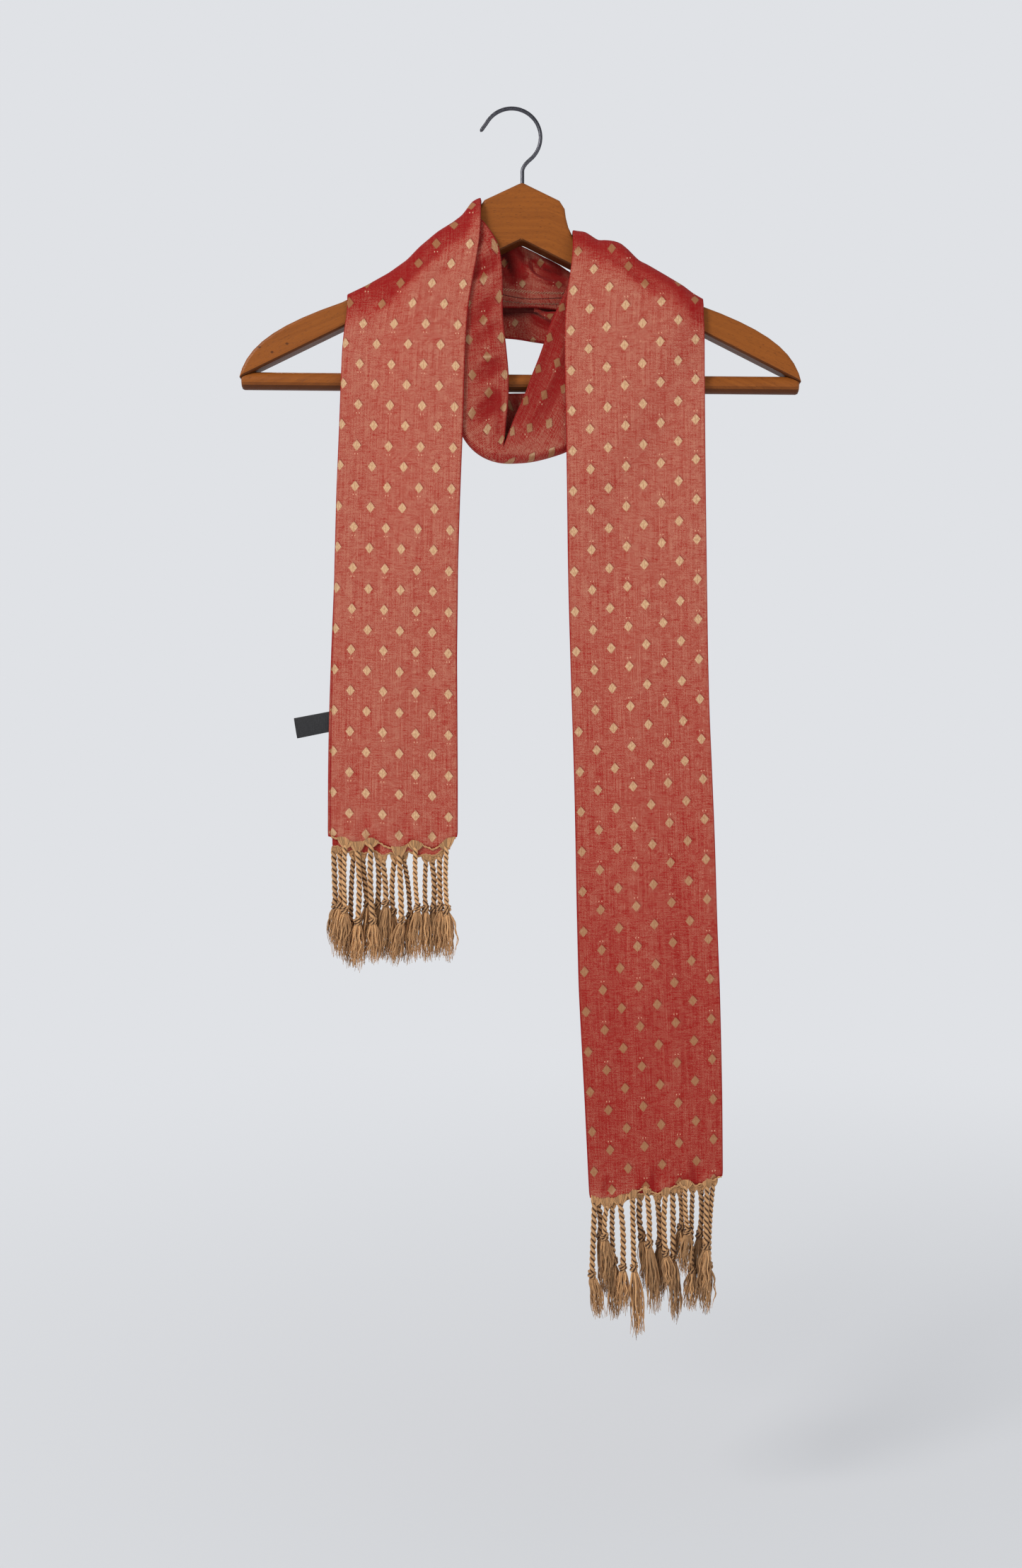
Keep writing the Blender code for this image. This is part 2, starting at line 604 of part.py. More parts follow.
def loop_over_arm(ridge, tuck):
    """Middle points of the loop over an arm, from its front to its back."""
    inner, outer = ridge[0][0], ridge[-1][0]
    x = np.linspace(inner, outer, LOOP_FRONT_ACROSS)
    back_x = np.linspace(outer, outer + math.copysign(tuck, inner - outer), LOOP_REAR_ACROSS)
    front = over_arm(x, loop_crest(ridge, x, 0), LOOP_OUTER_HALF, LOOP_BACK_DROP)
    rear = over_arm(back_x, loop_crest(ridge, back_x, 1), LOOP_INNER_HALF, LOOP_BACK_DROP)
    slope = ridge_slope(ridge)
    lean = LOOP_LAYER_STEP * math.sin(math.atan(slope)) * np.array([1, 0, slope])
    above = np.array([*np.sin(ARM_TURN), *np.sin(ARM_TURN[::-1]), 0, 0])
    rear += above[:, None, None] * lean
    return np.array([fold(a, b) for a, b in zip(front, rear, strict=True)])


def wrap_end(ridge):
    """Where a wrap behind the neck starts below the loop's end at an arm's back."""
    x = np.linspace(ridge[0][0], ridge[-1][0], WRAP_ACROSS)
    half = (LOOP_OUTER_HALF + LOOP_INNER_HALF) / 2
    z = loop_crest(ridge, x, 0.5) - (half - ARM_HALF + ARM_EDGE_ROUND) - LOOP_BACK_DROP - LOOP_END_GAP
    return np.stack([x, half + 0 * x, z], axis=1)


def tail_end(tail, inner_first):
    """Where a wrap starts below a tail's end at an arm's back."""
    last = tail_grid(tail)[0][-1]
    last = last[:: 1 if inner_first else -1] - [0, 0, TAIL_END_GAP]
    at = np.linspace(0, 1, WRAP_ACROSS)
    reach = np.linspace(0, 1, len(last))
    return np.stack([np.interp(at, reach, last[:, k]) for k in range(3)], axis=1)


def wrap_grid(first, table, last, count, step_edge, side):
    """Middle points of a wrap from one arm's back to the other's. Its depth changes past step_edge."""
    share = np.linspace(0, 1, WRAP_ACROSS)
    rows = [first]
    for row in table:
        s = dict(zip(WRAP_COLUMNS, row, strict=True))
        x = s["top_x"] + (s["low_x"] - s["top_x"]) * share
        z = s["top_z"] + (s["low_z"] - s["top_z"]) * share
        step = smooth_step(side * (x - step_edge) / UNDER_SLOPE)
        rows.append(np.stack([x, s["top_y"] + (s["low_y"] - s["top_y"]) * step, z], axis=1))
    return through([*rows, last], count)


def tube(points, radii, sides, twist=0.0):
    """The corners and faces of a closed tube with a radius for each of its points."""
    points = np.array(points, float)
    along = unit(np.gradient(points, axis=0))
    aside = unit(np.cross(along, (0, 1, 0)))
    other = np.cross(along, aside)
    corners = []
    for i, (p, r) in enumerate(zip(points, radii, strict=True)):
        angles = np.arange(sides) * 2 * math.pi / sides + math.radians(twist) * i
        corners += [p + r * (aside[i] * math.cos(a) + other[i] * math.sin(a)) for a in angles]
    faces = [
        (i * sides + j, i * sides + (j + 1) % sides, (i + 1) * sides + (j + 1) % sides, (i + 1) * sides + j)
        for i in range(len(points) - 1)
        for j in range(sides)
    ]
    faces += [range(sides), range((len(points) - 1) * sides, len(points) * sides)]
    return corners, [list(face) for face in faces]


def cord_tubes(cord, strip_z, phase):
    """One twisted cord down to its knot, and the locks of the tuft below it."""
    c = dict(zip(CORD_COLUMNS, cord, strict=True))
    root = np.array([c["root_x"], -HANG_DEPTH + c["row"] * ROOT_ROW_STEP, strip_z + CORD_ROOT])
    knot = np.array([c["knot_x"], -HANG_DEPTH + c["row"] * CORD_ROW_STEP, c["knot_z"]])
    end = np.array([c["end_x"], knot[1], c["end_z"]])
    bow = math.sin(phase) * CORD_BOW
    path = [root + (knot - root) * s + [bow * math.sin(math.pi * s), 0, 0] for s in CORD_SHARES]
    path += [knot, *[knot - [0, 0, drop] for drop, _ in KNOT_END]]
    radii = [CORD_RADIUS] * len(CORD_SHARES) + [KNOT_RADIUS, *[radius for _, radius in KNOT_END]]
    yield tube(path, radii, CORD_SIDES, CORD_TWIST)
    for k in range(LOCKS):
        angle = phase + k * 2 * math.pi / LOCKS
        aside = np.array([math.cos(angle), LOCK_FLAT * math.sin(angle), 0])
        start = knot + aside * LOCK_START - [0, 0, LOCK_DROP]
        middle = (start + end + aside * LOCK_SPREAD) / 2
        tip = end + aside * LOCK_SPREAD + [0, 0, LOCK_UNEVEN * (1 + math.cos(angle * 2))]
        yield tube([start, middle, tip], LOCK_RADII, LOCK_SIDES)


def make_fringe(name, tail, cords, collection, cutters, material):
    """A knotted strip just below the hem, with the twisted cords fused into it."""
    at = np.linspace(0, 1, TAIL_ACROSS)
    share, hem, low = np.array(tail["hem"]).T
    edge = tail_grid(tail)[0][0]
    top, bottom = edge.copy(), edge.copy()
    top[:, 2] = np.interp(at, share, hem) - TAIL_END_GAP
    bottom[:, 2] = np.interp(at, share, low)
    strip = cloth_wall(name, np.array([top, bottom]), STRIP_THICK, collection, material)
    points, faces = [], []
    for number, cord in enumerate(cords):
        strip_z = np.interp(cord[0], edge[:, 0], bottom[:, 2])
        for corners, sides in cord_tubes(cord, strip_z, number * CORD_PHASE):
            faces += [[len(points) + corner for corner in side] for side in sides]
            points += corners
    strands = add_object(name + "_strands", mesh_from(name + "_strands", points, faces), collection)
    make_cutter(strands, cutters)
    union = strip.modifiers.new("cords", "BOOLEAN")
    union.operation = "UNION"
    union.object = strands
    union.use_self = True
    return strip


def arm_outline():
    """The right half of the yoke, seen from the front, from the head's top round to the notch."""
    start, end = np.array(ARM_SHOULDER), np.array(ARM_TIP)
    first, second = start + ARM_SHOULDER_LEAN, end + ARM_TIP_LEAN
    round_end = [
        start * (1 - t) ** 3 + 3 * first * t * (1 - t) ** 2 + 3 * second * t**2 * (1 - t) + end * t**3
        for t in np.linspace(0, 1, ARM_POINTS)
    ]
    return [(0.0, 0.0), HEAD_CORNER, *HEAD_SIDE, *round_end, (0.0, NOTCH_Z)]


def make_hanger(parts, cutters, wood, steel):
    place = bpy.data.objects.new("hanger_place", None)
    parts.objects.link(place)
    place.location = Vector((APEX[0], 0, APEX[1])) * MM
    place.rotation_euler = Euler((0, math.radians(HANGER_TILT), 0))

    outline = arm_outline()
    half = mesh_from("hanger_yoke", [(x, 0, z) for x, z in outline], [range(len(outline))])
    yoke = add_object("hanger_yoke", half, parts, wood)
    yoke.parent = place
    yoke.modifiers.new("other half", "MIRROR").merge_threshold = MERGE_DISTANCE * MM
    solid = yoke.modifiers.new("depth", "SOLIDIFY")
    solid.thickness = ARM_DEPTH * MM
    solid.offset = 0
    rounding = yoke.modifiers.new("round edges", "BEVEL")
    rounding.width = ARM_EDGE_ROUND * MM
    rounding.segments = 3
    rounding.angle_limit = math.radians(40)

    bore_radius = (WIRE_RADIUS + GAP) * MM
    bpy.ops.mesh.primitive_cylinder_add(vertices=BORE_SIDES, radius=bore_radius, depth=BORE_LENGTH * MM)
    bore = bpy.context.object
    bore.name = "hook_bore"
    bore.parent = place
    bore.location = Vector((STEM_X - APEX[0], 0, BORE_LENGTH / 2 - STEM_DEPTH - BORE_EXTRA)) * MM
    make_cutter(bore, cutters)
    drill = yoke.modifiers.new("hook bore", "BOOLEAN")
    drill.object = bore

    length = 2 * BAR_HALF_LENGTH * MM
    bpy.ops.mesh.primitive_cylinder_add(vertices=BAR_SIDES, radius=BAR_RADIUS * MM, depth=length)
    bar = bpy.context.object
    bar.name = bar.data.name = "hanger_bar"
    bar.data.materials.append(wood)
    bar.data.transform(Matrix.Rotation(math.pi / 2, 4, "Y"))
    bar.data.shade_smooth()
    bar.data.set_sharp_from_angle(angle=SHARP_ANGLE)
    for holder in list(bar.users_collection):
        holder.objects.unlink(bar)
    parts.objects.link(bar)
    bar.parent = place
    bar.location = Vector((0, 0, BAR_Z)) * MM
    ends = bar.modifiers.new("round ends", "BEVEL")
    ends.width = BAR_END_ROUND * MM
    ends.segments = 2
    ends.angle_limit = math.radians(60)
    slope = math.atan2(NOTCH_Z - ARM_TIP[1], ARM_TIP[0])
    block = Matrix.Diagonal((*[side * MM for side in MITRE_BLOCK], 1))
    for side, word in ((1, "right"), (-1, "left")):
        bpy.ops.mesh.primitive_cube_add(size=1)
        mitre = bpy.context.object
        mitre.name = "mitre_" + word
        mitre.data.transform(block @ Matrix.Translation((0, 0, 0.5)))
        mitre.parent = place
        mitre.rotation_euler = Euler((0, side * slope, 0))
        mitre.location = Vector((side * ARM_TIP[0], 0, ARM_TIP[1] - GAP / math.cos(slope))) * MM
        make_cutter(mitre, cutters)
        cut = bar.modifiers.new("mitre " + word, "BOOLEAN")
        cut.object = mitre

    centre = np.array(HOOK_CENTRE)
    arc = [
        centre + HOOK_RADIUS * np.array([math.cos(a), math.sin(a)])
        for a in np.radians(np.linspace(HOOK_OPEN_ANGLE, HOOK_LOW_ANGLE, HOOK_POINTS))
    ]
    low, stem = arc[-1], np.array([STEM_X, STEM_TOP_Z])
    fall = (low[0] - STEM_X) * math.tan(math.radians(90 + HOOK_LOW_ANGLE))
    bend = np.array([STEM_X, low[1] - fall])
    curve_in = [low * (1 - t) ** 2 + 2 * bend * t * (1 - t) + stem * t**2 for t in (0.25, 0.5, 0.75, 1)]
    route = [np.array(HOOK_TIP), *arc, *curve_in, np.array([STEM_X, APEX[1] - STEM_DEPTH])]
    wire = bpy.data.curves.new("hanger_hook", "CURVE")
    wire.dimensions = "3D"
    wire.bevel_depth = WIRE_RADIUS * MM
    wire.bevel_resolution = 2
    wire.use_fill_caps = True
    line = wire.splines.new("POLY")
    line.points.add(len(route) - 1)
    for point, (x, z) in zip(line.points, route, strict=True):
        point.co = (x * MM, 0, z * MM, 1)
    add_object("hanger_hook", wire, parts, steel)


def main():
    clear_scene()
    parts = new_collection("cotton_scarf_on_hanger")
    cutters = new_collection("cutters")
    cloth = new_material(*CLOTH)
    fringe = new_material(*FRINGE)

    make_hanger(parts, cutters, new_material(*WOOD), new_material(*STEEL))

    for tail, cords in ((LEFT_TAIL, LEFT_CORDS), (RIGHT_TAIL, RIGHT_CORDS)):
        grid, thick = tail_grid(tail)
        reveal = tail["reveal"] * smooth_step((REVEAL_Z - grid[:, 0, 2]) / REVEAL_RUN)
        cloth_wall("tail_" + tail["name"], grid, thick, parts, cloth, reveal)
        make_fringe("fringe_" + tail["name"], tail, cords, parts, cutters, fringe)

    sections, thick = loop_sections()
    left = loop_over_arm(LOOP_LEFT_RIDGE, LOOP_LEFT_TUCK)[::-1]
    right = loop_over_arm(LOOP_RIGHT_RIDGE, LOOP_RIGHT_TUCK)
    ends = np.full(len(left), LOOP_SHOULDER_THICK)
    thin = [1.0] * LOOP_FRONT_ACROSS + [FOLD_THIN] * len(FOLD_TURN) + [1.0] * LOOP_REAR_ACROSS
    loop = np.concatenate([left, sections, right])
    cloth_wall("front_loop", loop, [*ends, *thick, *ends], parts, cloth, thin=thin)

    double = 2 * LOOP_SHOULDER_THICK + GAP
    start, end = wrap_end(LOOP_LEFT_RIDGE), tail_end(RIGHT_TAIL, True)
    upper = wrap_grid(start, UPPER_WRAP, end, WRAP_ROWS, RIGHT_TAIL["ridge_edge"], 1)
    upper_thick = through([double, *[row[-1] for row in UPPER_WRAP], SHOULDER_THICK], WRAP_ROWS)
    cloth_wall("wrap_upper", upper, upper_thick, parts, cloth)
    start, end = tail_end(LEFT_TAIL, False), wrap_end(LOOP_RIGHT_RIDGE)
    lower = wrap_grid(start, LOWER_WRAP, end, WRAP_ROWS, LEFT_TAIL["ridge_edge"], -1)
    lower_thick = through([SHOULDER_THICK, *[row[-1] for row in LOWER_WRAP], double], WRAP_ROWS)
    cloth_wall("wrap_lower", lower, lower_thick, parts, cloth)

    depth = -HANG_DEPTH + TAIL_THICK / 2 + GAP + LABEL_THICK / 2
    top_right, top_left, low_left, low_right = [np.array([x, depth, z]) for x, z in LABEL_CORNERS]
    top_edge = (top_left, (top_left + top_right) / 2, top_right)
    low_edge = (low_left, (low_left + low_right) / 2, low_right)
    cloth_wall("label", np.array([top_edge, low_edge]), LABEL_THICK, parts, new_material(*RIBBON))


main()
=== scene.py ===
"""Looks of a cotton scarf wound once round a wooden hanger, with two tails in front and a knotted fringe.

The cloth is rebuilt as fine shells on the forms of the solids, with soft folds, layered edges and a woven
pattern of small lozenges. Yarn, stitching, label and wire are modelled, and the wood keeps its own solids.
Sizes and places are in millimetres and are turned into metres where a mesh is made. X is to the right, Y goes
back and Z is up, from the inner top of the hook.
"""

import math
from types import SimpleNamespace

import bpy
import numpy as np
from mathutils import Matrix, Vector


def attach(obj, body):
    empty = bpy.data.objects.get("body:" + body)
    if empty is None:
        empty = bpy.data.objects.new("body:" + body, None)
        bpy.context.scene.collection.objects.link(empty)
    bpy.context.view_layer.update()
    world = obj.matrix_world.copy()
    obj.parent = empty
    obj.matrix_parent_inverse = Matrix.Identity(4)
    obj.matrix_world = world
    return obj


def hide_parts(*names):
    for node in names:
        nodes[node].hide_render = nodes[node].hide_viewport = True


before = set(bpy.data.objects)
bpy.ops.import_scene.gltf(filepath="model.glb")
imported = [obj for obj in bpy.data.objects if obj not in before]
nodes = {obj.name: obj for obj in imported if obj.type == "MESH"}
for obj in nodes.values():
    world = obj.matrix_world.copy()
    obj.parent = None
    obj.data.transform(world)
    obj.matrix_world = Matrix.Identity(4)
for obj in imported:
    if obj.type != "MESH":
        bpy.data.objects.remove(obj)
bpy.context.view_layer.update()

MM = 0.001
GAP = 0.3

# Arms and cloth, as the solids have them
ARM_HALF = 8.0
ARM_EDGE_ROUND = 2.5
TAIL_THICK = 3.2
SHOULDER_THICK = 2.4
LOOP_SHOULDER_THICK = 1.8
DOUBLE_THICK = 2 * LOOP_SHOULDER_THICK + 0.3
HANG_DEPTH = 13.0
OVER_LOOP_DEPTH = 16.7
OVER_LOOP_RUN = 20.0  # how far below the arm a tail reaches its depth before the loop
ON_ARM_DEPTH = HANG_DEPTH - 1.0
ON_ARM_Z = -170.0  # where a tail beside the strand leaves the arm
SETTLE_RUN = 60.0  # over how much height it takes up its new depth
FREE_Z = -295.0  # below this a tail hangs free of the loop
FREE_RUN = 110.0
LOOP_LAYER_STEP = LOOP_SHOULDER_THICK + 0.6
LOOP_INNER_HALF = ARM_HALF + GAP + LOOP_SHOULDER_THICK / 2
LOOP_OUTER_HALF = LOOP_INNER_HALF + LOOP_LAYER_STEP
TAIL_OUTER_HALF = LOOP_OUTER_HALF + LOOP_SHOULDER_THICK / 2 + GAP + SHOULDER_THICK / 2
TAIL_INNER_HALF = ARM_HALF + GAP + SHOULDER_THICK / 2
TAIL_BACK_DROP = 14.0
LOOP_BACK_DROP = 12.0
UNDER_SLOPE = 12.0
BRIDGE = 48.0  # how far a tail's face takes to settle beside the strand beneath it
LEVEL_Z = -200.0
TAIL_END_GAP = 0.05
LOOP_END_GAP = 0.1
CREST_EASE = 1.0  # what easing a shoulder's turn takes off its height
RIM = 0.35

# Meshes of the cloth
ROW_STEP = 2.5
ROW_BLUR = 2  # rows over which a bend is eased, each way
LINE_BLUR = 6
TAIL_COLUMNS = 45
COLUMN_CROWDING = 0.35  # how much closer a tail's columns stand near its edges
LEVEL_ROWS = 26  # a tail's rows from that level up to the arm
THIN_ROWS = 8  # of them are as thin as the shoulder
LOOP_ROWS = 110
LOOP_FRONT = 25  # columns
LOOP_TURN = 9
LOOP_REAR = 17
WRAP_ROWS = 80
WRAP_ACROSS = 33
LAYER_TURNS = (75, 35, 0, -35, -75)  # degrees round the edge of one layer
LAYER_BULGE = 0.55  # how far that edge bulges, against its thickness
LAYER_EXTRA = 0.4
BETWEEN_DOTS = 0.27  # a place in the pattern that is clear of dots

# Outer line of the shoulders: x, z
LEFT_CREST = (
    (-127.0, -147.2), (-111.6, -139.8), (-94.0, -129.8), (-79.7, -119.5), (-70.2, -109.6), (-55.9, -97.6),
    (-43.2, -89.7), (-36.4, -84.5), (-32.2, -78.6), (-28.8, -74.0), (-23.5, -71.5),
)
RIGHT_CREST = (
    (48.0, -96.5), (59.2, -98.0), (64.0, -101.0), (69.7, -104.6), (75.0, -104.4), (82.3, -105.3),
    (87.0, -107.0), (92.5, -111.6), (101.2, -120.6), (107.0, -123.2), (121.4, -131.4), (136.0, -140.0),
    (143.2, -145.6), (151.5, -150.6),
)

# Tails: z, left edge, right edge
LEFT_EDGES = (
    (-85, -125.5, -23.0), (-101, -126.0, -26.3), (-112, -126.3, -29.5), (-128, -126.8, -31.1),
    (-152, -127.5, -33.4), (-195, -129.5, -35.5), (-250, -131.4, -37.1), (-305, -133.7, -39.3),
    (-360, -135.0, -41.0), (-430, -136.7, -41.8), (-525, -138.0, -41.2), (-582, -138.3, -41.2),
)
RIGHT_EDGES = (
    (-96, 50.5, 150.5), (-109, 46.7, 150.8), (-123, 45.1, 151.0), (-136, 44.0, 151.0),
    (-199, 44.3, 151.2), (-262, 45.6, 151.6), (-360, 46.9, 152.7), (-415, 48.3, 153.5),
    (-470, 50.0, 154.6), (-525, 51.8, 156.9), (-580, 53.0, 159.2), (-635, 54.0, 160.9),
    (-690, 55.3, 163.1), (-772, 59.7, 164.8), (-840, 63.0, 165.3), (-855, 63.8, 165.3),
)

# Hems: share of the width, z of the cloth's edge, z of the lower edge of the layers behind
LEFT_HEM = (
    (0.00, -570.5, -580.5), (0.10, -573.0, -583.0), (0.21, -577.0, -585.0), (0.32, -572.4, -584.0),
    (0.44, -577.5, -586.5), (0.55, -581.0, -586.5), (0.65, -574.5, -585.5), (0.82, -579.8, -588.0),
    (1.00, -570.5, -582.0),
)
RIGHT_HEM = (
    (0.00, -851.0, -855.0), (0.11, -853.5, -857.5), (0.20, -852.0, -857.0), (0.29, -848.5, -853.5),
    (0.42, -842.6, -849.5), (0.50, -848.0, -852.5), (0.57, -845.5, -850.5), (0.73, -837.5, -844.0),
    (0.80, -841.0, -845.5), (0.88, -839.0, -843.5), (1.00, -834.0, -839.0),
)

# Where a strand of the loop ends beneath a tail: z, x
LEFT_UNDER = ((-124, -81.0), (-134, -75.0), (-142, -68.0), (-153, -62.0), (-285, -55.0))
RIGHT_UNDER = (
    (-130, 134.0), (-160, 128.0), (-190, 114.0), (-231, 95.0), (-255, 82.0), (-280, 66.0), (-300, 50.0),
)

LOOP_COLUMNS = ("x", "z", "out_angle", "out", "back_angle", "back", "front_y", "rear_y", "thick")
LOOP = (
    (-21.0, -90.0, 223, 64.0, 43, 30.0, -12.2, -9.6, 2.2),
    (-12.5, -102.0, 217, 62.0, 37, 29.0, -13.0, -9.8, 2.6),
    (-7.2, -114.0, 210, 58.0, 30, 29.0, -13.3, -9.9, 3.0),
    (-5.2, -137.0, 198, 52.0, 18, 29.0, -13.3, -9.9, 3.0),
    (-5.0, -165.0, 187, 48.0, 7, 29.0, -13.3, -9.9, 3.0),
    (-2.4, -190.0, 182, 48.0, 2, 29.0, -13.3, -9.9, 3.0),
    (-0.5, -212.0, 180, 47.5, 0, 28.0, -13.3, -9.9, 3.0),
    (-0.9, -232.0, 187, 44.0, 28, 28.0, -13.3, -9.3, 3.0),
    (-2.3, -246.0, 198, 37.0, 58, 37.0, -13.3, -7.0, 3.0),
    (-3.2, -257.0, 206, 28.0, 70, 44.5, -13.3, -4.0, 3.0),
    (-4.3, -265.0, 228, 16.0, 84, 47.5, -13.3, -2.0, 3.0),
    (-5.1, -269.0, 262, 10.2, 86, 47.0, -13.3, -1.0, 3.0),
    (-3.0, -263.0, 294, 17.5, 88, 47.5, -13.3, -1.0, 3.0),
    (0.2, -254.5, 306, 29.0, 95, 47.5, -13.3, -1.5, 3.0),
    (5.0, -242.0, 312, 43.0, 103, 45.5, -13.3, -2.5, 3.0),
    (11.0, -229.0, 316, 55.0, 115, 42.0, -13.3, -4.5, 3.0),
    (17.0, -213.0, 320, 60.0, 130, 31.0, -13.3, -7.5, 3.0),
    (24.5, -194.0, 324, 63.0, 142, 22.0, -13.3, -9.9, 3.0),
    (32.5, -170.5, 327, 66.0, 147, 14.0, -13.3, -9.9, 3.0),
    (41.5, -151.0, 330, 69.0, 150, 11.0, -13.3, -9.9, 3.0),
    (50.0, -132.0, 332, 72.0, 152, 10.0, -13.0, -9.8, 2.6),
    (56.0, -118.0, 333, 74.0, 153, 10.0, -12.2, -9.6, 2.2),
)
LOOP_LEFT_RIDGE = (
    (-27.0, -81.0), (-38.5, -94.0), (-50.0, -102.0), (-61.5, -110.0), (-73.0, -118.5),
)
LOOP_RIGHT_RIDGE = ((60.0, -104.3), (126.0, -138.5))
LOOP_LEFT_TUCK = 30.0
LOOP_RIGHT_TUCK = 10.0

WRAP_COLUMNS = ("top_x", "top_z", "low_x", "low_z", "top_y", "low_y", "thick")
UPPER_WRAP = (
    (-22.0, -104.0, -62.0, -141.0, 10.6, 10.6, 3.6), (-14.0, -105.0, -42.0, -148.0, 10.2, 10.2, 3.2),
    (-5.0, -102.6, -20.0, -150.5, 10.0, 10.0, 3.0), (6.0, -103.4, 2.0, -151.0, 10.0, 10.0, 3.0),
    (18.0, -108.6, 20.0, -151.0, 10.0, 10.0, 3.0), (30.0, -114.4, 38.0, -153.0, 11.3, 11.3, 3.0),
    (41.0, -119.4, 58.0, -160.0, 13.8, 13.8, 3.0), (47.0, -122.6, 84.0, -169.0, 14.4, 14.4, 3.0),
    (50.0, -123.5, 116.0, -175.0, 14.4, 13.6, 2.8),
)
LOWER_WRAP = (
    (-21.0, -102.0, -108.0, -172.0, 14.2, 9.8, 2.6), (-15.0, -112.0, -84.0, -175.0, 14.2, 11.0, 3.0),
    (-8.0, -118.0, -56.0, -175.0, 14.0, 14.0, 3.0), (0.0, -124.0, -26.0, -173.5, 13.8, 13.8, 3.0),
    (9.0, -134.0, 2.0, -174.5, 13.6, 13.6, 3.2), (18.0, -148.0, 20.0, -177.0, 13.8, 13.8, 3.8),
    (28.0, -156.0, 34.0, -179.0, 12.5, 12.5, 5.0), (39.0, -157.5, 46.0, -181.0, 9.5, 9.5, 6.5),
    (51.0, -160.0, 60.0, -180.0, 6.8, 6.8, 7.0), (60.0, -153.0, 79.0, -174.0, 7.8, 7.8, 6.0),
    (62.0, -138.0, 103.0, -166.0, 10.5, 10.5, 4.6),
)

# Fringe, a row for each twisted cord: x at the hem, x and z of its knot, x and z of its tuft's end, and its
# place from front (-1) to rear (1)
CORD_COLUMNS = ("root_x", "knot_x", "knot_z", "end_x", "end_z", "row")
LEFT_CORDS = (
    (-136.6, -135.6, -623.7, -137.5, -651.5, 1), (-132.2, -131.6, -623.2, -133.4, -659.5, 0),
    (-127.6, -127.3, -626.4, -129.5, -662.2, -1), (-121.3, -123.5, -640.2, -124.0, -668.8, 1),
    (-118.0, -117.5, -635.3, -118.0, -669.9, -1), (-114.2, -110.8, -622.0, -111.9, -665.0, 1),
    (-107.4, -105.9, -634.7, -104.6, -665.0, -1), (-102.3, -102.8, -623.7, -102.6, -663.3, 1),
    (-98.5, -96.0, -622.0, -97.6, -662.2, 0), (-89.4, -90.6, -629.2, -91.6, -666.6, 1),
    (-85.5, -83.6, -634.7, -87.6, -665.5, -1), (-82.2, -77.5, -631.4, -80.6, -665.5, 1),
    (-72.9, -71.2, -625.4, -73.7, -663.3, -1), (-64.8, -65.3, -625.9, -65.0, -665.0, 0),
    (-60.3, -59.2, -626.5, -58.6, -662.2, 1), (-54.2, -53.6, -625.4, -53.9, -661.1, 0),
    (-48.6, -48.2, -627.0, -46.8, -663.3, -1),
)
RIGHT_CORDS = (
    (66.4, 64.2, -909.2, 68.4, -940.3, -1), (69.0, 71.0, -881.0, 74.6, -926.6, 1),
    (76.0, 74.0, -880.0, 76.0, -918.0, -1), (80.4, 81.4, -901.0, 81.7, -943.0, 0),
    (86.3, 88.1, -903.8, 88.0, -935.7, -1), (95.9, 96.8, -903.8, 99.6, -955.8, -1),
    (101.8, 103.4, -881.9, 107.0, -920.0, 1), (107.2, 108.6, -885.5, 112.2, -937.5, -1),
    (115.5, 117.4, -887.4, 117.6, -929.3, 1), (121.4, 121.4, -892.8, 124.6, -920.2, -1),
    (127.3, 127.5, -897.4, 129.2, -943.9, 0), (132.8, 133.8, -874.6, 134.2, -901.0, 1),
    (136.9, 138.6, -876.0, 136.0, -908.0, -1), (142.8, 142.0, -906.5, 140.6, -935.7, 0),
    (149.2, 148.6, -880.1, 146.6, -931.0, 1), (154.0, 152.6, -888.0, 151.6, -922.0, -1),
    (158.8, 155.4, -904.7, 153.2, -937.5, 0),
)

CORD_ROW_STEP = 4.4  # from one row of cords to the next
CORD_SEED = 100
CORD_SIZE = (0.92, 0.22)  # the least, and how much more it may be
CORD_BOW = 1.3
PLY_RADIUS = 1.18
PLY_OFFSET = 1.0
PLY_PITCH = -8.6
GROOVE_SHADE = 1.7  # painted shade on a ply where it meets the other one
GROOVE_EDGE = 0.92  # where that starts, as a share of the cord's radius
GROOVE_RUN = 0.54
KNOT_REACH = 1.9
KNOT_TURNS = 2.3
KNOT_HEIGHT = 5.4
KNOT_ABOVE = (0, 0, 2.4)  # how far its dark core reaches, a dark strand inside the knot with painted shade among its coils
KNOT_BELOW = (0, 0, 3.4)
KNOT_CORE = (1.2, 1.7, 1.2)
KNOT_PLY = 0.78
KNOT_OFFSET = 0.68
KNOT_PITCH = -5.2
LOCKS = 17  # crinkled plies in a tuft
LOCK_RADIUS = 0.74
LOCK_SHARE = (0.78, 0.2)  # of the tuft's length, the least and how much more
HAIRS = 34
HAIR_RADIUS = 0.24
HAIR_UNEVEN = 6.5  # how far some hairs reach past the others
CURL = 1.25
TUFT_SPREAD = 5.8
TUFT_TURN = 2.4  # radians round the tuft from one thread to the next
STRAY_HAIRS = 4
STRAY_SHARE = (0.5, 0.4)
STRAY_CURL = 2.4
STRAY_SPREAD = 1.7
STRAY_THIN = 0.6
FAN_THREADS = 15
FAN_SPREAD = 3.4
WIDE_FAN = 1.9  # how much wider a front cord's fan is
FAN_DROP = 5.0
FAN_RADIUS = 0.36

# Label, a bare ribbon folded end to end: corners as x, z
LABEL_CORNERS = ((-131.0, -471.5), (-167.8, -478.5), (-165.4, -493.0), (-131.0, -486.0))
LABEL_SEWN_AT = (-133.0, -482.0)
LABEL_THICK = 0.45

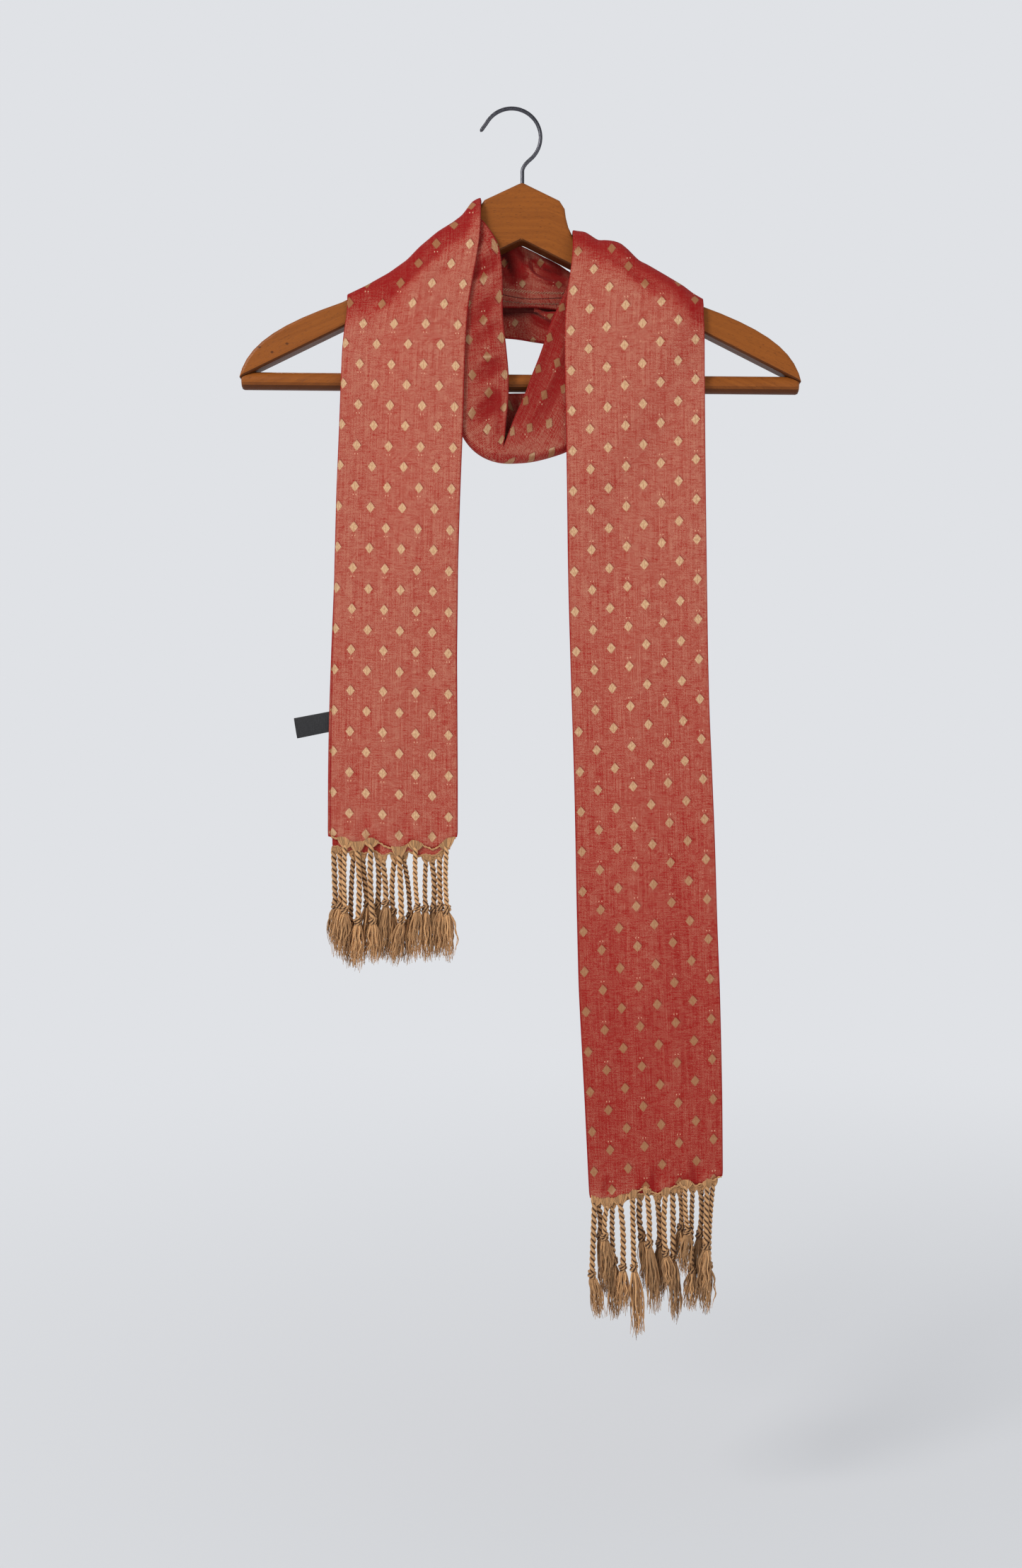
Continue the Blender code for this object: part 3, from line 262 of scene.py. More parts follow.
# Soft folds: three points of a curve in x and z, how wide and how high (a trough is below 0)
LEFT_TAIL_FOLDS = (
    ((-36, -92), (-62, -117), (-100, -144), 6.0, -1.0),
    ((-33, -104), (-50, -130), (-64, -172), 8.0, -0.6),
    ((-82, -133), (-98, -150), (-124, -166), 6.0, -0.7),
    ((-33, -140), (-58, -152), (-92, -168), 9.0, 0.5),
    ((-118, -200), (-104, -290), (-112, -400), 13.0, -0.7),
    ((-56, -260), (-64, -350), (-58, -450), 12.0, -0.7),
    ((-84, -330), (-92, -440), (-86, -560), 14.0, 0.6),
    ((-122, -420), (-118, -500), (-126, -570), 8.0, -0.5),
    ((-50, -470), (-54, -520), (-48, -575), 8.0, -0.5),
    ((-117.6, -580), (-116.5, -568), (-113, -554), 3.2, -1.0),
    ((-107, -573), (-106, -562), (-104, -550), 3.5, 0.8),
    ((-84.6, -584), (-84, -570), (-87, -556), 3.5, -1.0),
    ((-75, -575), (-73.5, -562), (-74, -550), 3.5, 0.8),
    ((-58.5, -582), (-60, -570), (-57, -556), 3.5, -1.0),
)
LEFT_TAIL_BACK_FOLDS = (
    ((-62, -215), (-74, -320), (-64, -430), 9.0, -0.9),
    ((-112, -240), (-98, -360), (-108, -500), 11.0, -0.9),
    ((-128, -470), (-96, -484), (-58, -470), 10.0, -0.6),
    ((-80, -420), (-88, -500), (-80, -570), 9.0, -0.7),
)
RIGHT_TAIL_FOLDS = (
    ((50, -100), (64, -107), (80, -112), 4.0, -1.1), ((72, -112), (96, -128), (128, -150), 6.0, -0.8),
    ((90, -118), (112, -138), (138, -160), 7.0, 0.5), ((58, -118), (66, -150), (62, -190), 9.0, -0.5),
    ((128, -200), (118, -300), (126, -420), 13.0, -0.7), ((72, -260), (80, -380), (70, -500), 13.0, -0.7),
    ((104, -400), (96, -540), (106, -690), 15.0, 0.6),
    ((140, -520), (132, -640), (142, -780), 10.0, -0.7), ((74, -600), (84, -700), (78, -830), 10.0, -0.7),
    ((116, -690), (110, -760), (120, -840), 9.0, -0.6), ((58, -700), (92, -716), (130, -702), 12.0, -0.4),
    ((75, -856), (76, -844), (80, -832), 3.2, -1.0), ((106, -846), (107, -834), (104, -820), 3.5, 0.8),
    ((114.5, -852), (114, -838), (117, -824), 3.5, -1.0),
    ((137, -840), (137, -828), (134, -814), 3.5, 0.8), ((145, -845), (146, -832), (143, -820), 3.2, -1.0),
)
RIGHT_TAIL_BACK_FOLDS = (
    ((72, -230), (84, -360), (70, -500), 10.0, -0.9), ((130, -250), (118, -400), (132, -560), 12.0, -0.9),
    ((88, -480), (98, -620), (86, -780), 11.0, -0.8), ((146, -600), (138, -700), (148, -820), 9.0, -0.7),
    ((60, -640), (100, -660), (150, -640), 12.0, -0.6),
)
LOOP_FOLDS = (
    ((-20, -100), (-32, -112), (-46, -118), 4.0, -0.8), ((-8, -117), (-20, -128), (-36, -134), 5.0, -1.0),
    ((-9, -150), (-20, -160), (-33, -176), 5.0, -0.8), ((-7, -168), (-16, -177), (-32, -190), 4.0, -0.7),
    ((-34.5, -198.0), (-19, -198.2), (-4.8, -191.6), 2.2, 0.7),
    ((-4, -200), (-14, -207), (-31, -216), 5.0, -0.8), ((-6, -224), (-18, -238), (-32, -250), 6.0, -1.0),
    ((-14, -216), (-9, -240), (-6, -262), 3.0, -0.5), ((-30, -252), (-8, -275), (26, -266), 5.0, -0.6),
    ((46, -150), (29, -200), (4, -252), 4.5, -0.8), ((49, -176), (38, -216), (16, -254), 5.0, -0.7),
    ((38, -178), (24, -214), (8, -240), 2.5, 0.4),
)
LOOP_BACK_FOLDS = (
    ((-40, -140), (-34, -180), (-38, -220), 5.0, -0.7), ((-20, -262), (4, -274), (34, -262), 5.0, -0.7),
    ((20, -226), (34, -204), (50, -188), 5.0, -0.7),
)
UPPER_WRAP_FOLDS = (
    ((0, -106), (8, -116), (14, -130), 3.5, 3.0), ((-6, -108), (-2, -122), (4, -134), 3.5, -3.0),
    ((15, -110), (20, -127), (44, -133), 1.8, 2.2), ((20, -114), (27, -124), (46, -127), 4.0, -3.2),
    ((-16, -112), (-10, -128), (-8, -142), 5.0, -1.2),
)
# Laid like folds, with how dark the painted shade is in a crease or recess, and how much redder a place
UPPER_WRAP_PAINTED_SHADE = (
    ((-10, -98), (-4, -113), (2, -128), 6.5, 0.9), ((15, -106), (22, -119), (42, -126), 1.9, 0.7),
    ((20, -108), (32, -116), (47, -122), 4.6, 0.4), ((-16, -148.5), (20, -149.5), (56, -149), 3.6, 0.25),
)
UPPER_WRAP_REDS = (
    ((4, -104), (7, -119), (13, -131), 6.5, 0.8), ((14, -104), (19, -124), (30, -136), 6.5, -0.5),
)
LOWER_WRAP_PAINTED_SHADE = (
    ((-26, -154.5), (-4, -155.2), (19, -155.4), 4.2, 0.95),
    ((14, -155.4), (30, -154.8), (44, -153.6), 1.6, 0.8),
    ((17, -154.6), (26, -158.6), (37, -165.5), 1.3, 0.8),
)
# More soft folds
UPPER_WRAP_BACK_FOLDS = (
    ((-40, -112), (0, -122), (48, -124), 5.0, -1.0), ((-30, -128), (10, -136), (70, -142), 4.0, -0.8),
    ((60, -140), (84, -148), (112, -152), 5.0, -0.7), ((-58, -128), (-40, -136), (-20, -134), 4.0, -0.7),
)
LOWER_WRAP_FOLDS = (
    ((-60, -150), (-20, -156), (6, -158), 4.0, -0.9), ((16, -156), (26, -165), (44, -168), 2.5, -1.2),
    ((40, -164), (58, -166), (80, -160), 3.0, -0.8),
)
LOWER_WRAP_BACK_FOLDS = (
    ((-100, -150), (-50, -152), (0, -152), 6.0, -1.1), ((-90, -162), (-40, -164), (10, -166), 4.5, -0.9),
    ((20, -160), (40, -172), (62, -168), 4.0, -1.0), ((-70, -128), (-40, -134), (-16, -130), 5.0, -0.8),
)

# Hook: the wire's route as x and z
WIRE_RADIUS = 1.5
HOOK_RADIUS = 22.7
HOOK_CENTRE = (1.9, -21.1)
HOOK_TIP = (-22.7, -16.6)
HOOK_OPEN_ANGLE = 150  # degrees, where the arc ends and the straight tip starts
HOOK_LOW_ANGLE = -50
STEM_TOP = (10.3, -48.0)
STEM_FOOT = (10.3, -62.0)

# Weave and dots, in millimetres of cloth. A noise has its steps a metre across and along, its detail and
# roughness, and its share in the mix of red and beige
CLOTH_NOISE = (
    (1900.0, 1500.0, 1.5, 0.5, 1.35),
    (1150.0, 22.0, 3.0, 0.65, 1.05),
    (130.0, 1100.0, 3.0, 0.65, 1.3),
    (130.0, 150.0, 3.0, 0.6, 0.55),
)
TWILL_SHARE = 0.85
RIB_SHARE = 0.36
TWILL_PITCH = 1.15
LOZENGE = (6.3, 8.0)
LOZENGE_FULL = 1.12
LOZENGE_STEP = 0.72
MARK_DROP = 6.6  # from a lozenge's middle to its float marks
MARK_SIDE = 1.1
LEFT_SPACING = (25.6, 31.8)
RIGHT_SPACING = (27.2, 31.1)
LOOP_SPACING = (25.6, 27.4)
WRAP_SPACING = (34.0, 28.5)
LOOP_DOT_Z = -168.7
# painted shade: redder below the crest of a shoulder, where the cloth turns over the arm
SHOULDER_PAINTED_SHADE = 0.72
SHOULDER_SHADE_DROP = 36.0
SHOULDER_SHADE_RUN = 30.0
LOW_RED_Z = -270.0
LOW_RED_RUN = 480.0
NOTCH_RED = 0.85  # where the hem rises between two of its corners
NOTCH_SPOT = (5, 5)
CORD_PALE = 0.45  # where a front cord's threads leave the cloth
CORD_SPOT = (5, 7)
HEM_RED = 0.3
# The lip under the upper wrap's hem: its redness, and how much painted shadow darkens it
LIP_RED = 0.6
LIP_PAINTED_SHADOW = 0.8

# Small shapes
DITCH_DEPTH = 0.35  # beside a fold, against its height
DITCH_PLACE = 1.7  # and against its width
DITCH_WIDTH = 1.3
SWAY = 1.3  # how far the tails wave to and fro on their way down
SWAY_TOP = -310.0
SWAY_PITCH = 48.0
SWAY_SLANT = 60.0
SWELL = 0.35
SWELL_SIZE = 70.0
ARM_RUN = 44.0  # a tail's face is smooth on this last stretch, over the arm
REVEAL_Z = -330.0  # below this a rear layer shows beside the front one
REVEAL_RUN = 180.0
SECOND_INSET = 1.5  # from a tail's edge to the second layer behind its hem
SECOND_NARROWER = 7.0
SECOND_RISE = 9.0  # how far it goes up behind the hem
SECOND_THICK = 1.1
HEM_THREAD_STEP = 0.7
HEM_ROUND = 3.5  # over how much height a tail thickens from its edge
HEM_END_X = 56.0  # where the upper wrap's sewn hem goes behind the arm
LIP_TOP_Z = -146.5
LIP_LOW_Z = -155.6
LIP_ENDS_X = (-14.0, 64.0)
LIP_BEHIND = 0.65
LIP_THICK = 0.9
NAIL_MARKS = ((-195.2, -187.9), (-185.3, -191.8), (-173.6, -185.2))

# Sewing on the upper wrap's hem: lines through x, z, and for each row of stitches its line, its step, the
# slopes of its stitches in turn, their length and their shade
SLANTED_ROW = ((-6, -137.8), (4.5, -139.0), (20, -140.6), (36, -140.5), (52, -139.5))
HEM_GROOVE = ((-6, -141.9), (4, -144.2), (15, -145.6), (28, -145.2), (40, -144.2), (54, -143.4))
ZIGZAG_ROW = ((-6, -147.2), (15, -149.4), (34, -149.2), (54, -148.4))
STITCH_ROWS = ((SLANTED_ROW, 2.2, (0.65, 0.65), 2.7, 0.78), (ZIGZAG_ROW, 1.4, (-0.9, 0.9), 1.3, 0.35))
STITCH_DEPTHS = (0.05, -0.25, -0.25, -0.25, 0.05)  # along a stitch, from the cloth's face
STITCH_RADIUS = 0.22
SEAM_STEP = 1.3
SEAM_RADIUS = 0.26
SEAM_SHADE = -2.0


def unit(vectors):
    return vectors / np.maximum(np.linalg.norm(vectors, axis=-1, keepdims=True), 1e-9)


def smooth_step(x):
    x = np.clip(x, 0, 1)
    return x * x * (3 - 2 * x)


def bell(x):
    return np.exp(-(x**2))


def blend(first, second, share):
    return first + (second - first) * share


def heading(degrees):
    return np.array([math.cos(math.radians(degrees)), 0, math.sin(math.radians(degrees))])


def places(x, y, z):
    """Points from their coordinates, each of them a row of numbers or one number for all."""
    return np.stack(np.broadcast_arrays(x, y, z), axis=-1)


def through(rows, count):
    """count rows along a smooth line through evenly spaced ones."""
    rows = np.asarray(rows, float)
    ends = np.concatenate([2 * rows[:1] - rows[1:2], rows, 2 * rows[-1:] - rows[-2:-1]])
    at = np.linspace(0, len(rows) - 1, count)
    i = np.minimum(at.astype(int), len(rows) - 2)
    t = (at - i).reshape(-1, *[1] * (rows.ndim - 1))
    a, b, c, d = ends[i], ends[i + 1], ends[i + 2], ends[i + 3]
    bend = (2 * a - 5 * b + 4 * c - d) * t**2 / 2
    return b + (c - a) * t / 2 + bend + (3 * b - a - 3 * c + d) * t**3 / 2


def between(at, known, rows):
    """Each column of rows, known at some places, at others."""
    return np.stack([np.interp(at, known, column) for column in rows.T], axis=1)


def eased(rows, reach):
    """Rows with their bends eased over some rows each way."""
    kernel = np.hanning(2 * reach + 3)[1:-1]
    start, end = 2 * rows[0] - rows[reach:0:-1], 2 * rows[-1] - rows[-2 : -reach - 2 : -1]
    longer = np.concatenate([start, rows, end]).reshape(len(rows) + 2 * reach, -1)
    columns = [np.convolve(column, kernel / kernel.sum(), "valid") for column in longer.T]
    return np.stack(columns, axis=1).reshape(rows.shape)


def smooth_line(table, at, column=1):
    """A column of a table at some places of its first, without its corners."""
    rows = np.array(sorted(table), float)
    fine = np.linspace(rows[0, 0], rows[-1, 0], 200)
    return np.interp(at, fine, eased(np.interp(fine, rows[:, 0], rows[:, column]), LINE_BLUR))


def along(grid):
    """How far each point of a grid lies along its column."""
    steps = np.linalg.norm(np.diff(grid, axis=0), axis=-1)
    return np.concatenate([np.zeros((1, grid.shape[1])), np.cumsum(steps, axis=0)])


def across(grid):
    """How far each point of a grid lies along its row."""
    return along(grid.transpose(1, 0, 2)).T


def run_of(path):
    """How far each point of a path lies along it."""
    return along(np.asarray(path, float)[:, None])[:, 0]


def evenly(points, step):
    """Places along a bent line, a step apart."""
    run = run_of(points)
    return between(np.arange(0, run[-1], step), run, np.array(points, float))


def resample(grid, values):
    """The grid again with even rows, its bends eased, and values of each row to match."""
    length = along(grid).mean(axis=1)
    at = np.linspace(0, length[-1], int(length[-1] / ROW_STEP) + 1)
    rows = between(at, length, grid.reshape(len(grid), -1))
    return eased(rows, ROW_BLUR).reshape(len(at), *grid.shape[1:]), np.interp(at, length, values)


def relief(grid, folds):
    """How high each point of a grid stands over its flat lie, from a table of soft folds."""
    height = np.zeros(grid.shape[:2])
    t = np.linspace(0, 1, 33)[:, None]
    for *curve, width, high in folds:
        start, middle, end = np.array(curve, float)
        line = start * (1 - t) * (1 - 2 * t) + 4 * middle * t * (1 - t) + end * t * (2 * t - 1)
        ahead = unit(np.gradient(line, axis=0))
        off = grid[..., [0, 2]][..., None, :] - line
        distance = np.linalg.norm(off, axis=-1)
        near = distance.argmin(axis=-1)
        turned = ahead[:, 0] * off[..., 1] - ahead[:, 1] * off[..., 0]
        close, turned = [np.take_along_axis(each, near[..., None], -1)[..., 0] for each in (distance, turned)]
        ease = np.sin(math.pi * near / 32) ** 0.6
        beside = np.where(turned > 0, close, -close) - DITCH_PLACE * width
        height += high * ease * bell(close / width)
        height -= DITCH_DEPTH * high * ease * bell(beside / (DITCH_WIDTH * width))
    return height


def wander(grid, seed, size):
    """Slow uneven swells of a cloth's face."""
    x, z = grid[..., 0], grid[..., 2]
    swell = np.zeros(grid.shape[:2])
    for k in range(6):
        turn, pitch = seed + 2.4 * k, size * (1 + 0.45 * k)
        swell += np.sin((x * math.cos(turn) * 1.6 + z * math.sin(turn)) / pitch * 6.28 + seed * (k + 1))
    return swell / 6


def spot(grid, x, z, wide, high):
    """A soft spot on a grid, 1 in its middle."""
    return bell(np.hypot((grid[..., 0] - x) / wide, (grid[..., 2] - z) / high))


def set_floats(mesh, title, values):
    attribute = mesh.attributes.new(title, "FLOAT", "POINT")
    attribute.data.foreach_set("value", np.asarray(values, np.float32))


def new_mesh(name, points, faces, uvs, floats=None):
    mesh = bpy.data.meshes.new(name)
    mesh.from_pydata((np.asarray(points, float) * MM).tolist(), [], faces)
    corners = np.zeros(len(mesh.loops), dtype=np.int32)
    mesh.loops.foreach_get("vertex_index", corners)
    for title, values in uvs.items():
        layer = mesh.uv_layers.new(name=title)
        layer.data.foreach_set("uv", np.asarray(values, np.float32)[corners].ravel())
    for title, values in (floats or {}).items():
        set_floats(mesh, title, values)
    mesh.shade_smooth()
    return mesh


def add_piece(mesh, material, slot, *replaced):
    piece = bpy.data.objects.new(mesh.name, mesh)
    bpy.context.scene.collection.objects.link(piece)
    mesh.materials.append(material)
    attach(piece, "root")
    if replaced:
        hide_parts(*replaced)
    return piece


def cloth_shell(grid, thick, reliefs, layers, reveal=0.0):
    """A closed wall of cloth, layered along its two long edges.

    reliefs are the front's and the rear's, layers the numbers that show along the first and the last edge,
    and reveal how far those of the first one stand out. It gives points and faces, the place of each point on
    the grid and how far beyond it the point lies, and the front and rear face.
    """
    rows, columns, _ = grid.shape
    thick = np.broadcast_to(thick, (rows, columns))
    normal = unit(np.cross(np.gradient(grid, axis=0), np.gradient(grid, axis=1)))
    front = grid - normal * (thick / 2 + reliefs[0])[..., None]
    rear = grid + normal * (thick / 2 + reliefs[1])[..., None]

    def rim(column, inner, count, extra):
        """The rounded edges of a stack of layers, in each row, from the rear one to the front one."""
        out = unit(grid[:, column] - grid[:, inner])
        middle, step = (rear[:, column] + front[:, column]) / 2, (rear[:, column] - front[:, column]) / 2
        reach = LAYER_BULGE * thick[:, column, None] * np.ones(count) / count + LAYER_EXTRA + extra
        return [
            middle
            + step * (1 - (2 * k + 1) / count)
            + out * reach[:, k, None] * math.cos(a)
            + step / count * math.sin(a)
            for k in range(count)
            for a in np.radians(LAYER_TURNS)
        ]

    first, last = [len(LAYER_TURNS) * count for count in layers]
    ring = [rear[:, j] for j in range(columns)]
    ring += rim(columns - 1, columns - 2, layers[1], 0.0)
    ring += [front[:, j] for j in reversed(range(columns))]
    ring += reversed(rim(0, 1, layers[0], reveal))
    size = len(ring)
    place = [*range(columns), *[columns - 1] * last, *reversed(range(columns)), *[0] * first]
    points = np.stack(ring, axis=1)
    beyond = np.linalg.norm(points - grid[:, place], axis=-1)
    beyond = beyond * np.repeat([0, 1, 0, -1], [columns, last, columns, first])
    faces = wall_faces(rows, size)[:, [0, 1, 3, 2]].tolist()
    far, near = columns - 1, 2 * columns - 1 + last
    for start, flip in ((0, 1), ((rows - 1) * size, -1)):
        cap = [(j, near - j, near - 1 - j, j + 1) for j in range(far)]
        cap += [tuple(range(far, near - far + 1)), (*range(near, size), 0)]
        faces += [[start + corner for corner in face][::flip] for face in cap]
    place = np.tile(place, rows) + np.repeat(np.arange(rows), size) * columns
    return points.reshape(-1, 3), faces, place, beyond.ravel(), (front, rear)


def wall_faces(rows, size):
    """For each four points between two rings: this one and the next, and the same two on the next ring."""
    this = (np.arange(rows - 1)[:, None] * size + np.arange(size)).ravel()
    following = (np.arange(rows - 1)[:, None] * size + (np.arange(size) + 1) % size).ravel()
    return np.stack([this, following, this + size, following + size], axis=1)


def turned_red(mesh, extra):
    """How far the cloth turns away from its open face at each point, with extra red added, from 0 to 1. The
    material paints shade by it, darker and redder where the cloth turns away from the front.
    """
    flat = np.zeros(len(mesh.vertices) * 3)
    mesh.vertex_normals.foreach_get("vector", flat)
    lean = np.sqrt(np.clip(1 - flat.reshape(-1, 3)[:, 1] ** 2, 0, 1))
    return np.clip(0.95 * smooth_step((lean - 0.05) / 0.6) + extra, 0, 1)


def cloth_piece(name, shape, threads, dots, redder, material, replaced=(), painted_shadow=0.0):
    """A shell of cloth with its dots, and its two faces.

    shape holds what cloth_shell takes. threads and dots are the place of each grid point on the cloth and
    among the dots, redder how much red it shows, and the last argument how far its front lies in painted
    shadow.
    """
    grid = shape[0]
    points, faces, place, beyond, sides = cloth_shell(*shape)

    def at_points(values):
        return np.broadcast_to(values, grid.shape[:2]).ravel()[place]

    thread = np.stack([at_points(threads[0]) + beyond, at_points(threads[1])], axis=-1)
    spots = np.broadcast_to(dots, (*grid.shape[:2], 2)).reshape(-1, 2)[place]
    spots[:, 0] += beyond / LEFT_SPACING[0]
    in_front = points[:, 1] < at_points(grid[..., 1])
    # painted shade: the front face darkened where the cloth lies in shadow
    uvs, painted_shade = {"dots": spots, "thread": thread * MM}, np.clip(at_points(painted_shadow), 0, 1) * in_front
    mesh = new_mesh(name, points, faces, uvs, {"painted_shade": painted_shade})
    set_floats(mesh, "turn", turned_red(mesh, at_points(redder)))
    return add_piece(mesh, material, "cloth", *replaced), sides


def single_layer(name, grid, thick, turn=None):
    """A mesh of one layer. With turn, how much red it shows, it takes the scarf's looks between the dots."""
    points, faces, place, _, _ = cloth_shell(grid, thick, (0.0, 0.0), (1, 1))
    thread = np.stack([across(grid), along(grid)], axis=-1).reshape(-1, 2)[place] * MM
    if turn is None:
        return new_mesh(name, points, faces, {"thread": thread})
    uvs = {"dots": np.full_like(thread, BETWEEN_DOTS), "thread": thread}
    return new_mesh(name, points, faces, uvs, {"turn": np.broadcast_to(turn, grid.shape[:2]).ravel()[place]})


def over_arm(x, crest, half, back_drop):
    """Rows of middle points over an arm, from its front to its back."""
    corner = half - (ARM_HALF - ARM_EDGE_ROUND)
    turn = np.radians(np.arange(0, 91, 10))
    rise = [(half - corner * (1 - math.cos(a)), crest - corner * (1 - math.sin(a))) for a in turn]
    drop = [(half, crest - corner - back_drop * share) for share in (0.25, 0.5, 0.75, 1.0)]
    rows = [(-y, z) for y, z in rise] + rise[::-1] + drop
    return np.array([places(x, y, z) for y, z in rows]), turn


def tail_crest(table, x):
    """The middle line of a tail where it turns over the arm, as upright as it is thick across its slope."""
    slope = (smooth_line(table, x + 2) - smooth_line(table, x - 2)) / 4
    return smooth_line(table, x) + CREST_EASE - SHOULDER_THICK / 2 * np.sqrt(1 + slope**2)


def ridge_slope(ridge):
    (x0, z0), (x1, z1) = ridge[-2:]
    return (z1 - z0) / (x1 - x0)


def loop_crest(ridge, x, layer):
    """The middle line of the loop's outer (0) or inner (1) layer where it turns over the arm."""
    line_x, line_z = np.array(sorted(ridge), float).T
    return np.interp(x, line_x, line_z) - layer * LOOP_LAYER_STEP * math.hypot(1, ridge_slope(ridge))


def tail_depth(tail, x, z, start_z):
    """How far in front a tail hangs: before the loop's strand, then on the arm beside it, then free."""
    strand_z, strand_x = np.array(sorted(tail.under), float).T
    beside = smooth_step(tail.side * (x - np.interp(z, strand_z, strand_x)) / BRIDGE)
    before = blend(TAIL_OUTER_HALF, OVER_LOOP_DEPTH, smooth_step((start_z - z) / OVER_LOOP_RUN))
    on_arm = blend(TAIL_INNER_HALF, ON_ARM_DEPTH, smooth_step((ON_ARM_Z - z) / SETTLE_RUN))
    upper = blend(before, on_arm, beside)
    return blend(upper, HANG_DEPTH, smooth_step((FREE_Z - z) / FREE_RUN))


def tail_grid(tail):
    """Middle points of a tail, from its hem over the arm to its back, and the thickness of each row."""
    crowded = (1 - np.cos(np.linspace(0, math.pi, TAIL_COLUMNS))) / 2
    share = crowded * COLUMN_CROWDING + np.linspace(0, 1, TAIL_COLUMNS) * (1 - COLUMN_CROWDING)

    def at(z):
        return blend(smooth_line(tail.edges, z, 1), smooth_line(tail.edges, z, 2), share)

    hem_share, hem_z, _ = np.array(tail.hem).T
    top_x = at(max(row[0] for row in tail.edges))
    beside = smooth_step(tail.side * (top_x - tail.ridge_edge) / UNDER_SLOPE)
    half = blend(TAIL_OUTER_HALF, TAIL_INNER_HALF, beside)
    arch, _ = over_arm(top_x, tail_crest(tail.crest, top_x), half, TAIL_BACK_DROP)
    start = arch[0, :, 2]
    hem = np.interp(share, hem_share, hem_z)
    levels = [blend(hem, LEVEL_Z, s) for s in np.linspace(0, 1, tail.rows)]
    levels += [blend(LEVEL_Z, start, s) for s in np.linspace(0, 1, LEVEL_ROWS)[1:-1]]
    front = []
    for z in levels:
        rise = smooth_step((z - LEVEL_Z) / (start - LEVEL_Z)) ** 2
        x = blend(at(z), top_x, rise)
        front.append(places(x, -tail_depth(tail, x, z, start), z))
    thick = np.full(len(levels) + len(arch), TAIL_THICK)
    thick[len(levels) - THIN_ROWS :] = SHOULDER_THICK
    return np.concatenate([front, arch]), thick


def fold(front, rear):
    """A section of the loop: its front layer, the turn at its outer edge and the layer behind."""
    middle, reach = (front[-1] + rear[0]) / 2, (front[-1] - rear[0]) / 2
    out = unit(front[-1] - front[-2]) * np.linalg.norm(reach)
    angles = np.radians(np.linspace(0, 180, LOOP_TURN + 2)[1:-1])
    return np.concatenate([front, [middle + reach * math.cos(a) + out * math.sin(a) for a in angles], rear])


def loop_grid():
    """Middle points of the whole loop, from the back of the left arm to the back of the right one."""
    table = through(LOOP, LOOP_ROWS)
    sections = []
    for row in table:
        s = SimpleNamespace(**dict(zip(LOOP_COLUMNS, row, strict=True)))
        turn = (s.rear_y - s.front_y) / 2
        out, back = heading(s.out_angle), heading(s.back_angle)
        start = np.array([s.x, s.front_y, s.z]) + out * RIM * s.thick
        width = s.out - turn - s.thick * (0.5 + RIM)
        front = start + out * width * np.linspace(0, 1, LOOP_FRONT)[:, None]
        rear = front[-1] + [0, 2 * turn, 0] + back * s.back * np.linspace(0, 1, LOOP_REAR)[:, None]
        sections.append(fold(front, rear))
    ends = []
    for ridge, tuck in ((LOOP_LEFT_RIDGE, LOOP_LEFT_TUCK), (LOOP_RIGHT_RIDGE, LOOP_RIGHT_TUCK)):
        inner, outer = ridge[0][0], ridge[-1][0]
        x = np.linspace(inner, outer, LOOP_FRONT)
        back_x = np.linspace(outer, outer + math.copysign(tuck, inner - outer), LOOP_REAR)
        front, turn = over_arm(x, loop_crest(ridge, x, 0), LOOP_OUTER_HALF, LOOP_BACK_DROP)
        rear, _ = over_arm(back_x, loop_crest(ridge, back_x, 1), LOOP_INNER_HALF, LOOP_BACK_DROP)
        slope = ridge_slope(ridge)
        lean = LOOP_LAYER_STEP * math.sin(math.atan(slope)) * np.array([1, 0, slope])
        above = np.array([*np.sin(turn), *np.sin(turn[::-1]), 0, 0, 0, 0])
        rear = rear + above[:, None, None] * lean
        ends.append(np.array([fold(a, b) for a, b in zip(front, rear, strict=True)]))
    thin = np.full(len(ends[0]), LOOP_SHOULDER_THICK)
    return np.concatenate([ends[0][::-1], sections, ends[1]]), np.concatenate([thin, table[:, -1], thin])


def wrap_end(ridge):
    """Where a wrap behind the neck starts below the loop's end at an arm's back."""
    x = np.linspace(ridge[0][0], ridge[-1][0], WRAP_ACROSS)
    half = (LOOP_OUTER_HALF + LOOP_INNER_HALF) / 2
    z = loop_crest(ridge, x, 0.5) - (half - ARM_HALF + ARM_EDGE_ROUND) - LOOP_BACK_DROP - LOOP_END_GAP
    return places(x, half, z)


def tail_end(last, side):
    """Where a wrap starts below a tail's end at an arm's back."""
    last = last[::side] - [0, 0, TAIL_END_GAP]
    reach = np.abs(last[:, 0] - last[0, 0])
    return between(np.linspace(0, 1, WRAP_ACROSS), reach / reach[-1], last)


def wrap_grid(first, table, last, tail):
    """Middle points of a wrap from one arm's back to the other's. Its depth changes past the loop's ridge."""
    share = np.linspace(0, 1, WRAP_ACROSS)
    rows = [first]
    for row in table:
        s = SimpleNamespace(**dict(zip(WRAP_COLUMNS, row, strict=True)))
        x, z = blend(s.top_x, s.low_x, share), blend(s.top_z, s.low_z, share)
        step = smooth_step(tail.side * (x - tail.ridge_edge) / UNDER_SLOPE)
        rows.append(places(x, blend(s.top_y, s.low_y, step), z))
    return through([*rows, last], WRAP_ROWS)


def tube(points, radii, sides):
    """Points and faces of a closed tube."""
    ahead = unit(np.gradient(points, axis=0))
    aside = unit(np.cross(ahead, (0.05, 1, 0.03)))
    other = np.cross(ahead, aside)
    angle = np.arange(sides) * 2 * math.pi / sides
    radii = np.broadcast_to(radii, len(points))[:, None, None]
    ring = aside[:, None] * np.cos(angle)[:, None] + other[:, None] * np.sin(angle)[:, None]
    corners = (points[:, None] + radii * ring).reshape(-1, 3)
    faces = wall_faces(len(points), sides)[:, [0, 2, 3, 1]].tolist()
    faces += [list(range(sides)), list(range(len(corners) - sides, len(corners)))[::-1]]
    return corners, faces


